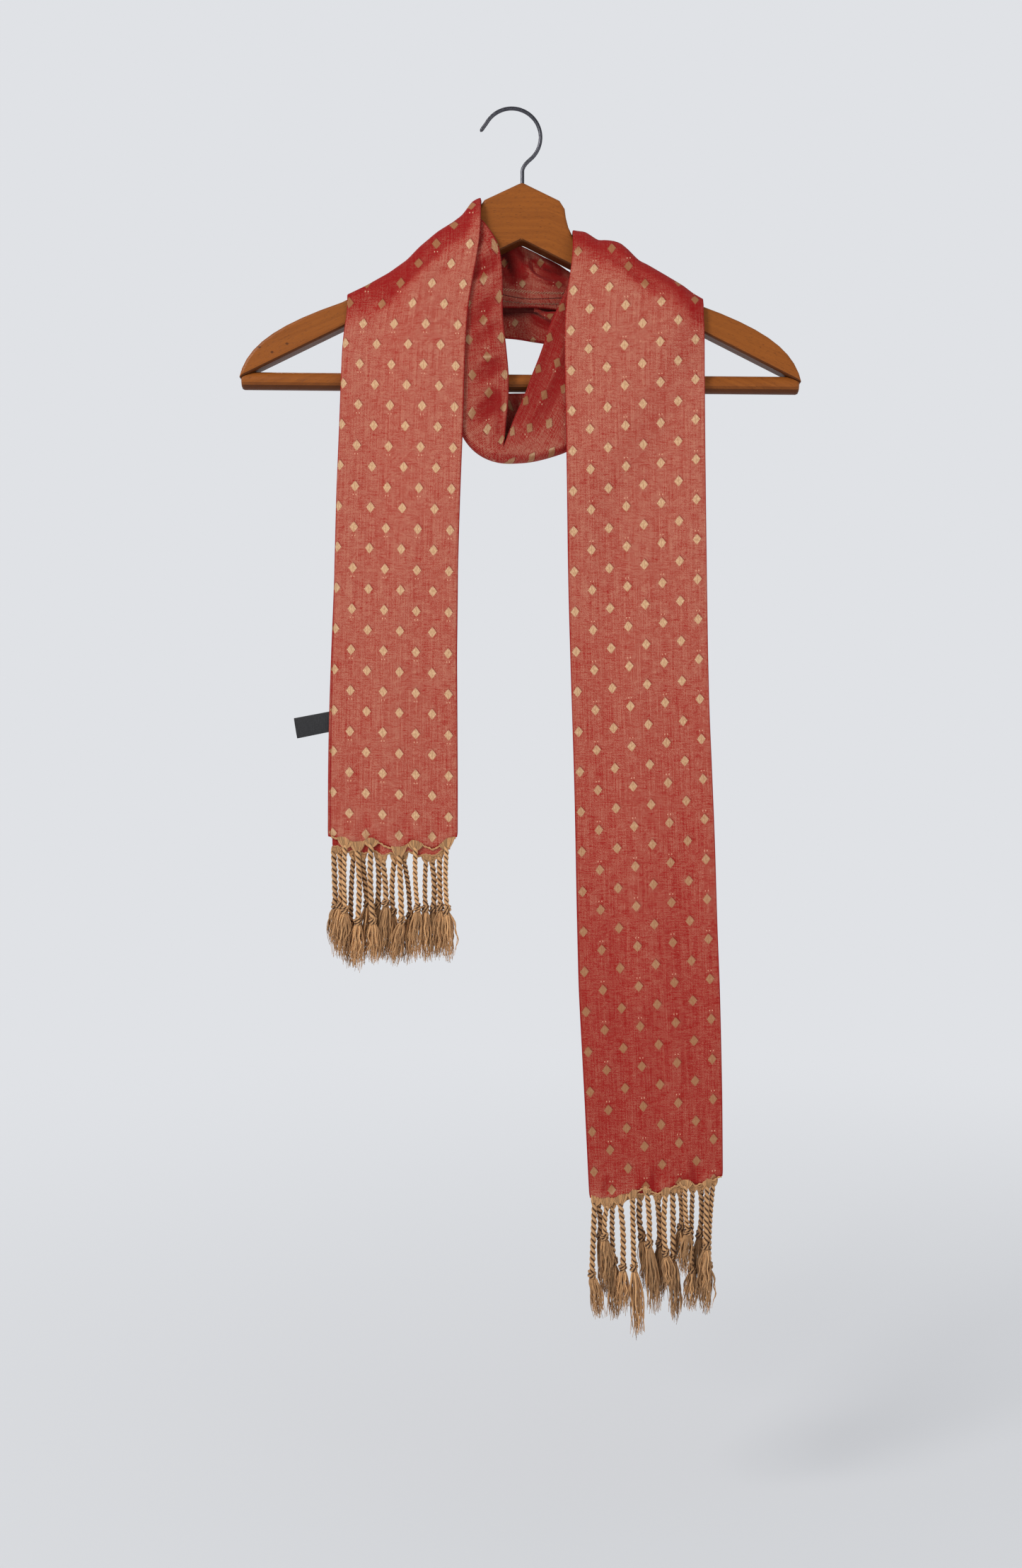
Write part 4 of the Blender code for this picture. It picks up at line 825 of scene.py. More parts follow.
class Strands:
    """Many tubes gathered into one mesh, each with its own shade and its length along it."""

    def __init__(self):
        self.points, self.faces, self.shade, self.length = [], [], [], []
        self.count = 0

    def add(self, points, radii, sides, shade, axis=None):
        """One strand. With an axis it is a ply of a cord, with painted shade where it meets the other ply."""
        points = np.asarray(points, float)
        corners, faces = tube(points, radii, sides)
        shades = np.full(len(corners), float(shade))
        if axis is not None:
            off = np.linalg.norm(corners - np.repeat(axis, sides, axis=0), axis=1)
            shades -= GROOVE_SHADE * smooth_step((GROOVE_EDGE - off / off.max()) / GROOVE_RUN)
        self.faces += [[self.count + corner for corner in face] for face in faces]
        self.points.append(corners)
        self.shade += shades.tolist()
        run = run_of(points)
        turn = np.tile(np.arange(sides) / sides, len(run))
        self.length.append(np.stack([turn, np.repeat(run, sides)], axis=1))
        self.count += len(corners)

    def twist(self, path, offset, radius, pitch, sides, shades, phase=0.0, axis=None):
        """Two plies about a path."""
        for k, shade in enumerate(shades):
            self.add(twisted(path, offset, pitch, k * math.pi + phase), radius, sides, shade, axis)

    def piece(self, name, material, slot, *replaced):
        uvs = {"thread": np.concatenate(self.length)}
        mesh = new_mesh(name, np.concatenate(self.points), self.faces, uvs, {"shade": self.shade})
        return add_piece(mesh, material, slot, *replaced)


def twisted(path, offset, pitch, phase):
    """A helix about a path."""
    ahead = unit(np.gradient(path, axis=0))
    aside = unit(np.cross(ahead, (0, 1, 0)))
    angle = (run_of(path) / pitch * 2 * math.pi + phase)[:, None]
    return path + offset * (aside * np.cos(angle) + np.cross(ahead, aside) * np.sin(angle))


def add_cord(strands, root, knot, end, number, dim):
    """One two-ply cord, its knot and the tuft below, with painted shade that darkens it the further back it
    hangs.
    """
    chance = np.random.default_rng(CORD_SEED + number)

    def pick(least, more):
        return least + more * chance.random()

    shares = np.linspace(0, 1, 64)[:, None]
    bow = CORD_BOW * math.sin(number * 1.9)
    path = blend(root, knot, shares) + np.array([1, 0.4, 0]) * bow * np.sin(math.pi * shares)
    size = pick(*CORD_SIZE)
    shades = [pick(0.92 - dim, 0.2) for _ in range(2)]
    strands.twist(path, PLY_OFFSET * size, PLY_RADIUS * size, PLY_PITCH * size, 8, shades, number, path)
    turns = np.linspace(0, 1, 64)
    angle = turns * 2 * math.pi * KNOT_TURNS + number
    reach = KNOT_REACH * (0.75 + 0.45 * np.sin(math.pi * turns))
    rise = (0.5 - turns) * KNOT_HEIGHT + 0.9 * np.sin(angle + 1)
    coil = places(reach * np.cos(angle), reach * np.sin(angle), rise)
    coil[:, 2] += 0.7 * pick(-0.5, 1) * coil[:, 0] + 0.5 * pick(-0.5, 1) * coil[:, 1]
    coil += knot
    strands.twist(coil, KNOT_OFFSET, KNOT_PLY, KNOT_PITCH, 6, (0.9 - dim, 0.9 - dim), axis=coil)
    # painted shade: a dark core inside the knot
    strands.add([knot + KNOT_ABOVE, knot, knot - KNOT_BELOW], KNOT_CORE, 8, 0.1)
    lean = 0.25 * (end[0] - knot[0])
    drop = knot[2] - end[2]
    t = np.linspace(0, 1, 12)[:, None]
    for k in range(LOCKS + HAIRS + STRAY_HAIRS):
        lock, stray = k < LOCKS, k >= LOCKS + HAIRS
        count, place = (LOCKS, k) if lock else (HAIRS, (k - LOCKS) % HAIRS)
        ring = math.sqrt((place + 0.5) / count)
        aside = np.array([math.cos(TUFT_TURN * k), 0.75 * math.sin(TUFT_TURN * k), 0]) * ring
        start = knot + aside * 1.2 - [0, 0, 1.6]
        share = pick(*LOCK_SHARE) if lock else 1 + pick(0, HAIR_UNEVEN) / drop - 0.12 * ring
        if stray:
            share = pick(*STRAY_SHARE)
        reach = TUFT_SPREAD * pick(0.5, 0.6) * (STRAY_SPREAD if stray else 1.0)
        tip = np.array([end[0], knot[1], knot[2] - drop * share]) + aside * reach
        curl = (STRAY_CURL if stray else CURL) * pick(0.5, 1)
        first, pace = pick(0, 6.28), pick(9.0 if lock else 5.0, 5.0)
        waves = first + pace * t
        swing = np.concatenate([np.sin(waves) - np.sin(first), np.cos(waves) - np.cos(first), 0 * t], 1)
        path = blend(start, tip, t) + swing * curl * t**0.6 * [0.8, 0.6, 0]
        path += aside * 2.6 * np.sin(math.pi * t**0.7) + np.array([lean, 0, 0]) * np.sin(math.pi * t)
        radius = LOCK_RADIUS if lock else HAIR_RADIUS * (STRAY_THIN if stray else 1.0)
        taper = 1 - (0.7 if lock else 0.45) * t[:, 0] ** 2
        # painted shade: threads darker towards the middle of the tuft and in the rows behind, with random
        # shade of their own
        strands.add(path, radius * taper, 5 if lock else 4, pick(0.3 - dim + 0.32 * ring, 0.8))


class Value:
    """What a shader node gives, for use in sums."""

    def __init__(self, graph, socket):
        self.graph, self.socket = graph, socket

    def __add__(self, other):
        return self.graph.math("ADD", self, other)

    def __sub__(self, other):
        return self.graph.math("SUBTRACT", self, other)

    def __rsub__(self, other):
        return self.graph.math("SUBTRACT", other, self)

    def __mul__(self, other):
        return self.graph.math("MULTIPLY", self, other)

    def __truediv__(self, other):
        return self.graph.math("DIVIDE", self, other)

    def __pow__(self, other):
        return self.graph.math("POWER", self, other)

    def __abs__(self):
        return self.graph.math("ABSOLUTE", self)


class Graph:
    """The shader nodes of one material or of the world."""

    def __init__(self, owner, shader="Principled BSDF", **uniform):
        self.owner = bpy.data.materials.new(owner) if isinstance(owner, str) else owner
        self.owner.use_nodes = True
        self.tree = self.owner.node_tree
        self.shader = self.tree.nodes[shader]
        for socket, value in uniform.items():
            self.set(socket.replace("_", " ").title().replace("Ior", "IOR"), value)

    def mix_shader(self, factor, first, second):
        """Shows two shaders, or the plain one for None, by their shares."""
        plain = Value(self, self.shader.outputs[0])
        sockets = {0: factor, 1: first or plain, 2: second or plain}
        output = next(node for node in self.tree.nodes if node.bl_idname.startswith("ShaderNodeOutput"))
        self.feed(output.inputs["Surface"], self.add("ShaderNodeMixShader", sockets))

    def set(self, socket, value):
        self.feed(self.shader.inputs[socket], value)

    def feed(self, socket, value):
        if isinstance(value, Value):
            self.tree.links.new(value.socket, socket)
        else:
            socket.default_value = value

    def add(self, kind, inputs=(), output=0, **settings):
        node = self.tree.nodes.new(kind)
        for key, value in settings.items():
            setattr(node, key, value)
        for socket, value in dict(inputs).items():
            self.feed(node.inputs[socket], value)
        return Value(self, node.outputs[output])

    def math(self, operation, *values, clamp=False):
        return self.add("ShaderNodeMath", enumerate(values), operation=operation, use_clamp=clamp)

    def ramp(self, value, low, high, to_low=0.0, to_high=1.0, smooth=True):
        kind = "SMOOTHSTEP" if smooth else "LINEAR"
        sockets = {"Value": value, "From Min": low, "From Max": high, "To Min": to_low, "To Max": to_high}
        return self.add("ShaderNodeMapRange", sockets, interpolation_type=kind)

    def noise(self, x, y, z=0.0, detail=2.0, roughness=0.5):
        return self.cells(self.add("ShaderNodeCombineXYZ", {0: x, 1: y, 2: z}), 1.0, detail, roughness)

    def cells(self, vector, scale, detail=2.0, roughness=0.5):
        sockets = {"Vector": vector, "Scale": scale, "Detail": detail, "Roughness": roughness}
        return self.add("ShaderNodeTexNoise", sockets, "Fac")

    def mix(self, factor, first, second, kind="MIX"):
        sockets = {0: factor, 6: first, 7: second}
        return self.add("ShaderNodeMix", sockets, 2, data_type="RGBA", blend_type=kind)

    def split(self, vector):
        axes = self.add("ShaderNodeSeparateXYZ", {0: vector}).socket.node
        return [Value(self, socket) for socket in axes.outputs]

    def uv(self, name):
        return self.split(self.add("ShaderNodeUVMap", uv_map=name))

    def place(self):
        return self.add("ShaderNodeTexCoord", output="Object")

    def written(self, name):
        """A number that the mesh holds for each point."""
        return self.add("ShaderNodeAttribute", output="Fac", attribute_name=name)

    def bump(self, height, distance, strength):
        sockets = {"Height": height, "Distance": distance, "Strength": strength}
        self.set("Normal", self.add("ShaderNodeBump", sockets))


def linear(red, green, blue):
    """A colour given as it looks on a screen, from 0 to 255."""
    return (*(((c / 255 + 0.055) / 1.055) ** 2.4 if c > 10 else c / 3295 for c in (red, green, blue)), 1.0)


def cloth_material(name, dot_spacing, marks_side, painted_shade_tone=1.0):
    """Red warp and beige weft, with woven lozenges on a lattice, and float marks beside one row in two."""
    g = Graph(name, roughness=0.85, sheen_weight=0.04, sheen_roughness=0.6, specular_ior_level=0.12)
    u, v, _ = g.uv("thread")
    p, q, _ = g.uv("dots")
    turn, painted_shade = g.written("turn"), g.written("painted_shade")

    noises = [g.noise(u * wide, v * long, 0.0, *finer) for wide, long, *finer, _ in CLOTH_NOISE]
    grain, warp, weft, cloud = noises
    twill = g.noise(u * 1100.0 + v * 1100.0, u * 420.0 - v * 420.0, detail=1.0)
    ribs = g.ramp(g.math("SINE", (u + v) * (6283.0 / TWILL_PITCH) + cloud * 5.0), -1.0, 1.0, smooth=False)
    mixed, *others = [(value - 0.5) * row[-1] for value, row in zip(noises, CLOTH_NOISE, strict=True)]
    for other in (*others, (twill - 0.5) * TWILL_SHARE, (ribs - 0.5) * RIB_SHARE):
        mixed = mixed + other
    # painted shade: less beige, and below a darker red, where the cloth turns away from the front
    beige_share = g.math("ADD", mixed, g.ramp(turn, 0.0, 1.0, 0.43, 0.0, smooth=False), clamp=True)
    cloth = g.mix(beige_share, WARP_RED, WEFT_BEIGE)
    cloth = g.mix(g.ramp(weft, 0.57, 0.70, 0.0, 0.6), cloth, WEFT_RED)
    cloth = g.mix(g.ramp(turn, 0.35, 1.0, 0.0, 0.6), cloth, TURNED_SHADE_RED)

    masks, dot_shadows, sides = [], [], []
    for shift in (0.0, 0.5):
        near = [g.math("FRACT", place + shift) - 0.5 for place in (p, q)]
        side, rise = near[0] * dot_spacing[0], near[1] * dot_spacing[1]
        step = g.math("SNAP", abs(side) + LOZENGE_STEP / 2, LOZENGE_STEP)
        reach = (step / (LOZENGE[0] / 2)) ** LOZENGE_FULL + (abs(rise) / (LOZENGE[1] / 2)) ** LOZENGE_FULL
        masks.append(g.ramp(reach, 1.06, 1.0))
        # painted shadow: a dark outline offset to one side of each lozenge, where its raised weave throws
        # shade
        rim = abs(side - 0.45) / (LOZENGE[0] / 2 + 0.5) + abs(rise - 0.5) / (LOZENGE[1] / 2 + 0.5)
        dot_shadows.append(g.ramp(rim, 1.1, 0.95) * (1.0 - masks[-1]))
        sides.append(abs(side))
    low, float_x = abs(rise - marks_side * MARK_DROP), abs(sides[-1] - MARK_SIDE)
    marks = g.ramp(low, 0.65, 0.35) * g.ramp(float_x, 0.45, 0.2)
    dot = g.math("MAXIMUM", *masks)
    slit = g.ramp(g.math("MINIMUM", *sides), 0.35, 0.12) * dot
    dot_colour = g.mix(g.ramp(g.noise(u * 1600.0, v * 500.0), 0.3, 0.7), DOT_DARK, DOT_LIGHT)
    dot_colour = g.mix(slit * 0.45, dot_colour, DOT_SLIT)
    # painted shade: dots darker where the cloth turns away from the front
    dot_colour = g.mix(g.ramp(turn, 0.1, 0.75, 0.0, 0.85), dot_colour, DOT_TURNED_SHADE)
    # painted shadow round the lozenges
    cloth = g.mix(g.math("MAXIMUM", *dot_shadows) * 0.55, cloth, DOT_SHADOW_RED)
    cloth = g.mix(marks * 0.7, cloth, MARK_LIGHT)
    # painted shade: the whole colour toned darker for the shaded copies
    toned = g.mix(1.0, g.mix(dot, cloth, dot_colour), (painted_shade_tone, painted_shade_tone, painted_shade_tone, 1.0), "MULTIPLY")
    # painted shade: the colour drawn towards a very dark red where the mesh marks the cloth as lying in
    # shadow
    g.set("Base Color", g.mix(painted_shade, toned, PAINTED_SHADE_RED))
    weave = (grain * 0.5 + twill * 0.3) + (warp * 0.35 + ribs * 0.25)
    g.bump(weave + dot * 0.9, 0.00035, 0.7)
    return g.owner


def yarn_material(name, dark, light):
    """Twisted cotton yarn, with a shade of its own for each strand."""
    g = Graph(name, roughness=0.72, sheen_weight=0.15, sheen_roughness=0.5, specular_ior_level=0.3)
    u, v, _ = g.uv("thread")
    fibres = g.noise((u * 9.0 + v * 1.1) * 2.2, v * 0.25, detail=3.0)
    g.set("Base Color", g.mix(g.math("ADD", fibres * 0.8, g.written("shade") - 0.5, clamp=True), dark, light))
    g.bump(fibres, 0.0004, 0.6)
    return g.owner


def wood_material():
    """Old varnished wood, its grain level in the head and following the arms outwards, with painted shade on
    its undersides.
    """
    g = Graph("wood", roughness=0.5, specular_ior_level=0.15, coat_weight=0.04, coat_roughness=0.25)
    x, y, z = g.split(g.place())
    rise = z + g.math("MAXIMUM", abs(x) - 0.03, 0.0) * 0.42
    grain = g.noise(x * 14.0, y * 240.0, rise * 330.0, 4.0, 0.6)
    broad = g.noise(x * 7.0, y, rise * 22.0)
    pores = g.ramp(g.noise(x * 300.0, y * 1100.0, rise * 2100.0, 1.0), 0.6, 0.74)
    flecks = g.ramp(g.noise(x * 420.0, y * 400.0, rise * 420.0), 0.68, 0.76)
    colour = g.mix(g.ramp(grain, 0.25, 0.75), WOOD_DARK, WOOD_LIGHT)
    colour = g.mix(g.ramp(broad, 0.3, 0.75, 0.0, 0.4), colour, WOOD_BROAD)
    colour = g.mix(pores * 0.4, colour, WOOD_PORE)
    colour = g.mix(flecks * 0.5, colour, WOOD_FLECK)
    for spot_x, spot_z in NAIL_MARKS:
        far = abs(x - spot_x * MM) + abs(z - spot_z * MM) * 1.4
        colour = g.mix(g.ramp(far, 0.0022, 0.0008, 0.0, 0.8), colour, WOOD_NAIL)
    # painted shade: darker where the wood faces down
    _, _, facing = g.split(g.add("ShaderNodeNewGeometry", output="Normal"))
    g.set("Base Color", g.mix(g.ramp(facing, -0.25, -0.7, 0.0, 0.75), colour, WOOD_UNDERSIDE_SHADE))
    g.set("Roughness", g.ramp(grain, 0.2, 0.8, 0.5, 0.36, smooth=False))
    g.bump(grain - pores * 0.7, 0.0003, 0.5)
    return g.owner


def steel_material():
    g = Graph("dark steel", metallic=1.0)
    worn = g.cells(g.place(), 900.0, 3.0)
    g.set("Base Color", g.mix(g.ramp(worn, 0.3, 0.75), STEEL_DARK, STEEL_LIGHT))
    g.set("Roughness", g.ramp(worn, 0.3, 0.7, 0.28, 0.46, smooth=False))
    g.bump(worn, 0.0001, 0.4)
    return g.owner


def ribbon_material():
    """Close black ribbon with fine ribs."""
    g = Graph("black ribbon", roughness=0.55, sheen_weight=0.2, sheen_roughness=0.4)
    u, v, _ = g.uv("thread")
    fuzz = g.noise(u * 1400.0, v * 700.0)
    g.set("Base Color", g.mix(g.ramp(fuzz, 0.3, 0.75), RIBBON_DARK, RIBBON_LIGHT))
    g.bump(g.math("SINE", v * (6283.0 / 0.9)) + fuzz, 0.00015, 0.6)
    return g.owner


def band_threads(grid):
    """Places on a band of cloth: across from its first edge, and along from its start."""
    return across(grid), along(grid).mean(axis=1)[:, None]


def lattice(u, v, spacing, phase, slope=0.0):
    """Where places on the cloth lie among the dots: whole numbers fall on one half of them."""
    p, q = (u - phase[0]) / spacing[0], (v - phase[1] - slope * u) / spacing[1]
    return np.stack(np.broadcast_arrays(p, q), axis=-1)


def on_face(face, x, z):
    """The depth of a shell's face at a place in x and z."""
    flat = face.reshape(-1, 3)
    return flat[((flat[:, 0] - x) ** 2 + (flat[:, 2] - z) ** 2).argmin(), 1]


# Colours as they look on a screen
WARP_RED, WEFT_BEIGE = linear(160, 22, 20), linear(204, 144, 118)
# The turned red, darker and deeper, is painted shade where the cloth turns away from the front
WEFT_RED, TURNED_SHADE_RED = linear(150, 24, 24), linear(138, 12, 14)
# The first red is a painted shadow round each lozenge, the second the darkest painted shade, for creases and
# recesses
DOT_SHADOW_RED, PAINTED_SHADE_RED = linear(120, 30, 28), linear(44, 9, 9)
DOT_DARK, DOT_LIGHT = linear(196, 150, 110), linear(226, 188, 148)
# The turned dot colour is painted shade on the dots
DOT_SLIT, DOT_TURNED_SHADE = linear(176, 118, 84), linear(150, 88, 52)
MARK_LIGHT = linear(236, 196, 160)
FRINGE_DARK, FRINGE_LIGHT = linear(66, 36, 18), linear(228, 175, 120)
SEWING_DARK, SEWING_LIGHT = linear(72, 22, 18), linear(222, 176, 140)
WOOD_DARK, WOOD_LIGHT, WOOD_BROAD = linear(136, 74, 26), linear(154, 87, 33), linear(146, 84, 34)
WOOD_PORE, WOOD_FLECK = linear(88, 46, 20), linear(92, 48, 22)
# The second of these is painted shade on the wood's undersides
WOOD_NAIL, WOOD_UNDERSIDE_SHADE = linear(70, 38, 20), linear(58, 27, 14)
STEEL_DARK, STEEL_LIGHT = linear(74, 74, 80), linear(96, 96, 102)
RIBBON_DARK, RIBBON_LIGHT = linear(12, 12, 15), linear(38, 38, 42)
WALL_LIGHT, FLOOR_GREY = linear(224, 226, 230), linear(226, 228, 231)

LEFT_TAIL = SimpleNamespace(
    name="left",
    side=-1,
    rows=150,
    crest=LEFT_CREST,
    edges=LEFT_EDGES,
    hem=LEFT_HEM,
    under=LEFT_UNDER,
    cords=LEFT_CORDS,
    ridge_edge=LOOP_LEFT_RIDGE[-1][0] - 6,
    folds=LEFT_TAIL_FOLDS,
    back_folds=LEFT_TAIL_BACK_FOLDS,
    layers=(3, 2),
    reveal=(2.2, 0.6, 0.0),
    lattice=(LEFT_SPACING, (13.6, -265.0), -0.04),
    low_red=0.26,
    dim=0.02,
)
RIGHT_TAIL = SimpleNamespace(
    name="right",
    side=1,
    rows=250,
    crest=RIGHT_CREST,
    edges=RIGHT_EDGES,
    hem=RIGHT_HEM,
    under=RIGHT_UNDER,
    cords=RIGHT_CORDS,
    ridge_edge=LOOP_RIGHT_RIDGE[-1][0] + 6,
    folds=RIGHT_TAIL_FOLDS,
    back_folds=RIGHT_TAIL_BACK_FOLDS,
    layers=(2, 3),
    reveal=(0.0, 0.0),
    lattice=(RIGHT_SPACING, (17.0, -286.5), 0.103),
    low_red=0.58,
    dim=0.13,
)
UPPER = SimpleNamespace(
    name="wrap_upper",
    rows=UPPER_WRAP,
    folds=UPPER_WRAP_FOLDS,
    back_folds=UPPER_WRAP_BACK_FOLDS,
    painted_shades=UPPER_WRAP_PAINTED_SHADE,
    reds=UPPER_WRAP_REDS,
    redness=(0.4, 0.4, 1.6),
    slant=0.0,
    phase=(133.5, 10.4),
)
LOWER = SimpleNamespace(
    name="wrap_lower",
    rows=LOWER_WRAP,
    folds=LOWER_WRAP_FOLDS,
    back_folds=LOWER_WRAP_BACK_FOLDS,
    painted_shades=LOWER_WRAP_PAINTED_SHADE,
    reds=(),
    redness=(0.42, 0.25, 1.0),
    slant=0.188,
    phase=(164.4, 4.6),
)


def tail_redness(tail, grid, face):
    """How much more red a tail shows: near its shoulder, low down, in its folds and between its cords. Near
    the shoulder and in the troughs of the folds it is painted shade.
    """
    z = grid[..., 2]
    crest = tail_crest(tail.crest, grid[..., 0])
    uneven = 4 * wander(grid, 1.0, 30.0)
    # painted shade below the crest and in the troughs of the folds
    redder = SHOULDER_PAINTED_SHADE * smooth_step((z - crest + SHOULDER_SHADE_DROP + uneven) / SHOULDER_SHADE_RUN)
    redder += tail.low_red * smooth_step((LOW_RED_Z - z) / LOW_RED_RUN) - 0.1 * np.clip(face, -2, 0.5)
    left, right = grid[0, 0, 0], grid[0, -1, 0]
    hem = np.array(tail.hem)
    for (_, before, _), (share, high, _), (_, after, _) in zip(hem[:-2], hem[1:-1], hem[2:], strict=True):
        if high > max(before, after):
            redder += NOTCH_RED * spot(grid, blend(left, right, share), high + 1, *NOTCH_SPOT)
    for x, *_, row in tail.cords:
        if row < 0:
            redder -= CORD_PALE * spot(grid, x, np.interp(x, grid[0, :, 0], grid[0, :, 2]), *CORD_SPOT)
    return redder


def build_tail(tail, cloth):
    """A tail's piece, its grid, that grid's last row before it was eased, and its two faces."""
    raw, raw_thick = tail_grid(tail)
    grid, thick = resample(raw, raw_thick)
    x, z = grid[..., 0], grid[..., 2]
    free = np.sin(math.pi * np.clip((SWAY_TOP - z) / (SWAY_TOP - z[:1]), 0, 1))
    grid[..., 1] += SWAY * free**0.5 * np.sin((z + 20 * tail.side) / SWAY_PITCH + x / SWAY_SLANT) * free
    low = along(grid).mean(axis=1)
    thick = thick * (0.45 + 0.55 * smooth_step(low / HEM_ROUND))
    open_front = smooth_step((low[-1] - ARM_RUN - low) / 12)[:, None]
    face = relief(grid, tail.folds) * np.maximum(open_front, 0.6)
    face += SWELL * wander(grid, tail.side + 2.0, SWELL_SIZE) * open_front
    rear = np.minimum(relief(grid, tail.back_folds) * open_front, 0)
    reveal = smooth_step((REVEAL_Z - z[:, :1]) / REVEAL_RUN) * np.array(tail.reveal)
    threads = (np.abs(x - x[:, :1]).mean(axis=0), z[0] + along(grid))
    shape = (grid, thick[:, None], (face, rear), tail.layers, reveal)
    dots, redder = lattice(*threads, *tail.lattice), tail_redness(tail, grid, face)
    name = "tail_" + tail.name
    piece, faces = cloth_piece("cloth_" + name, shape, threads, dots, redder, cloth, [name])
    return piece, grid, raw[-1], faces


def hem_parts(tail, grid, front, cloth):
    """The second layer behind the hem, the twisted threads along both edges, and the fringe."""
    edge = grid[0]
    share, upper, lower = np.array(tail.hem).T
    fine = np.linspace(0, 1, 121)
    whole = blend(edge[0, 0], edge[-1, 0], fine)
    inner = edge[0, 0] + SECOND_INSET + (edge[-1, 0] - edge[0, 0] - SECOND_NARROWER) * fine
    hem = np.interp(fine, share, upper)
    bottom = np.interp(fine, share, lower) + 1.2 * np.sin(fine * 41) + 2.2
    peaks = np.interp(fine, share, np.gradient(np.gradient(upper)))
    levels = np.linspace(0, 1, 14)
    wavy = [-HANG_DEPTH + 0.75 + 0.25 * np.sin(fine * 37 + 2 * s) for s in levels]
    heights = [blend(bottom, hem + SECOND_RISE, s) for s in levels]
    layer = np.array([places(inner, y, z) for y, z in zip(wavy, heights, strict=True)])
    thick = SECOND_THICK * (0.4 + 0.6 * smooth_step(levels * 6))[:, None]
    red = np.clip(0.55 + 0.25 * np.sign(-peaks), 0, 1)
    second = add_piece(single_layer("cloth_hem_" + tail.name, layer, thick, red), cloth, "cloth")

    edging = Strands()
    depth = np.interp(whole, front[0, :, 0], front[0, :, 1]) - 0.1
    uneven = 0.35 * np.sin(fine * 53) + 0.3 * np.sin(fine * 131)
    edge_path = evenly(places(whole, depth, hem - 0.2 + uneven), HEM_THREAD_STEP)
    edging.twist(edge_path, 0.42, 0.42, 6.5, 6, (0.95, 0.95))
    second_path = evenly(places(inner, -HANG_DEPTH + 0.3, bottom + 0.3), HEM_THREAD_STEP)
    edging.twist(second_path, 0.45, 0.5, 6.0, 6, (0.75, 0.75))
    trim = edging.piece("cord_hem_" + tail.name, yarn, "fringe")

    fringe = Strands()
    chance = np.random.default_rng(tail.side + 8)
    for number, cord in enumerate(tail.cords):
        c = SimpleNamespace(**dict(zip(CORD_COLUMNS, cord, strict=True)))
        in_front = c.row < 0
        line = (whole, hem) if in_front else (inner, bottom)
        depth = -HANG_DEPTH - 1.3 if in_front else -HANG_DEPTH + 0.6 + 0.5 * c.row
        root = np.array([c.root_x, depth, np.interp(c.root_x, *line) - FAN_DROP + 1.5])
        knot = np.array([c.knot_x, -HANG_DEPTH + c.row * CORD_ROW_STEP * 0.8, c.knot_z])
        end = np.array([c.end_x, knot[1], c.end_z])
        # painted shade: the cords darker on the right tail and in the rows behind
        add_cord(fringe, root, knot, end, number, tail.dim + 0.09 * (c.row + 1))
        spread = FAN_SPREAD * (WIDE_FAN if in_front and number % 2 == 0 else 1)
        threads = int(FAN_THREADS * spread / FAN_SPREAD)
        for k in range(threads):
            off = spread * (2 * (k + 0.5) / threads - 1) + 0.4 * (chance.random() - 0.5)
            from_x = np.clip(root[0] + off, edge[0, 0] + 0.5, edge[-1, 0] - 0.5)
            rise = 0.8 + (1.8 * (1 - abs(off) / spread) + 0.8 * chance.random() if in_front else 0)
            begin = np.array([from_x, depth + 0.3 * math.cos(3.0 * k), np.interp(from_x, *line) + rise])
            close = root + [0.9 * off / spread, 0.7 * math.sin(2.4 * k), -2.5]
            t = np.linspace(0, 1, 9)[:, None]
            bow = np.array([off * 0.25 * FAN_SPREAD / spread, -0.3, 0]) * np.sin(math.pi * t)
            fringe.add(blend(begin, close, t) + bow, FAN_RADIUS, 4, 0.55 + 0.6 * chance.random())
    return second, trim, fringe.piece("fringe_yarn_" + tail.name, yarn, "fringe", "fringe_" + tail.name)


def build_loop():
    raw, raw_thick = loop_grid()
    grid, thick = resample(raw, raw_thick)
    thin = np.repeat([1.0, 0.8, 1.0], [LOOP_FRONT, LOOP_TURN, LOOP_REAR])
    run = along(grid).mean(axis=1)
    share = run / run[-1] - 0.5
    hanging = (smooth_step((run - 36) / 14) * smooth_step((run[-1] - 36 - run) / 14))[:, None]
    columns = np.arange(grid.shape[1])
    face = 1.7 * relief(grid, LOOP_FOLDS) * (columns < LOOP_FRONT + 2) * hanging
    rear = np.minimum(relief(grid, LOOP_BACK_FOLDS), 0) * hanging
    near_top = np.maximum(smooth_step((62 - run) / 26), smooth_step((run - run[-1] + 62) / 26))[:, None]
    beyond_turn = smooth_step(share / 0.1)[:, None]
    # painted shade: redder near the arms, past the loop's bottom, on the layer behind and in the troughs of
    # the folds
    redder = 0.16 * near_top + 0.48 + 0.16 * beyond_turn - 0.26 * np.clip(face, -1.6, 0.8)
    redder[:, LOOP_FRONT + LOOP_TURN :] += 0.12
    outer = smooth_step((columns - 10) / 8) * (columns < LOOP_FRONT + LOOP_TURN)
    low_rim = bell(share / 0.13)[:, None] * outer
    redder -= 0.5 * low_rim * (0.8 + 1.1 * smooth_step((columns - 20) / 5))
    threads = band_threads(grid)
    at_level = run[np.abs(grid[: len(run) // 2, 8, 2] - LOOP_DOT_Z).argmin()]
    dots = lattice(*threads, LOOP_SPACING, (14.3, at_level))
    shape = (grid, thick[:, None] * thin, (face, rear), (2, 1))
    return cloth_piece("cloth_loop", shape, threads, dots, redder, loop_cloth, ["front_loop"])[0]


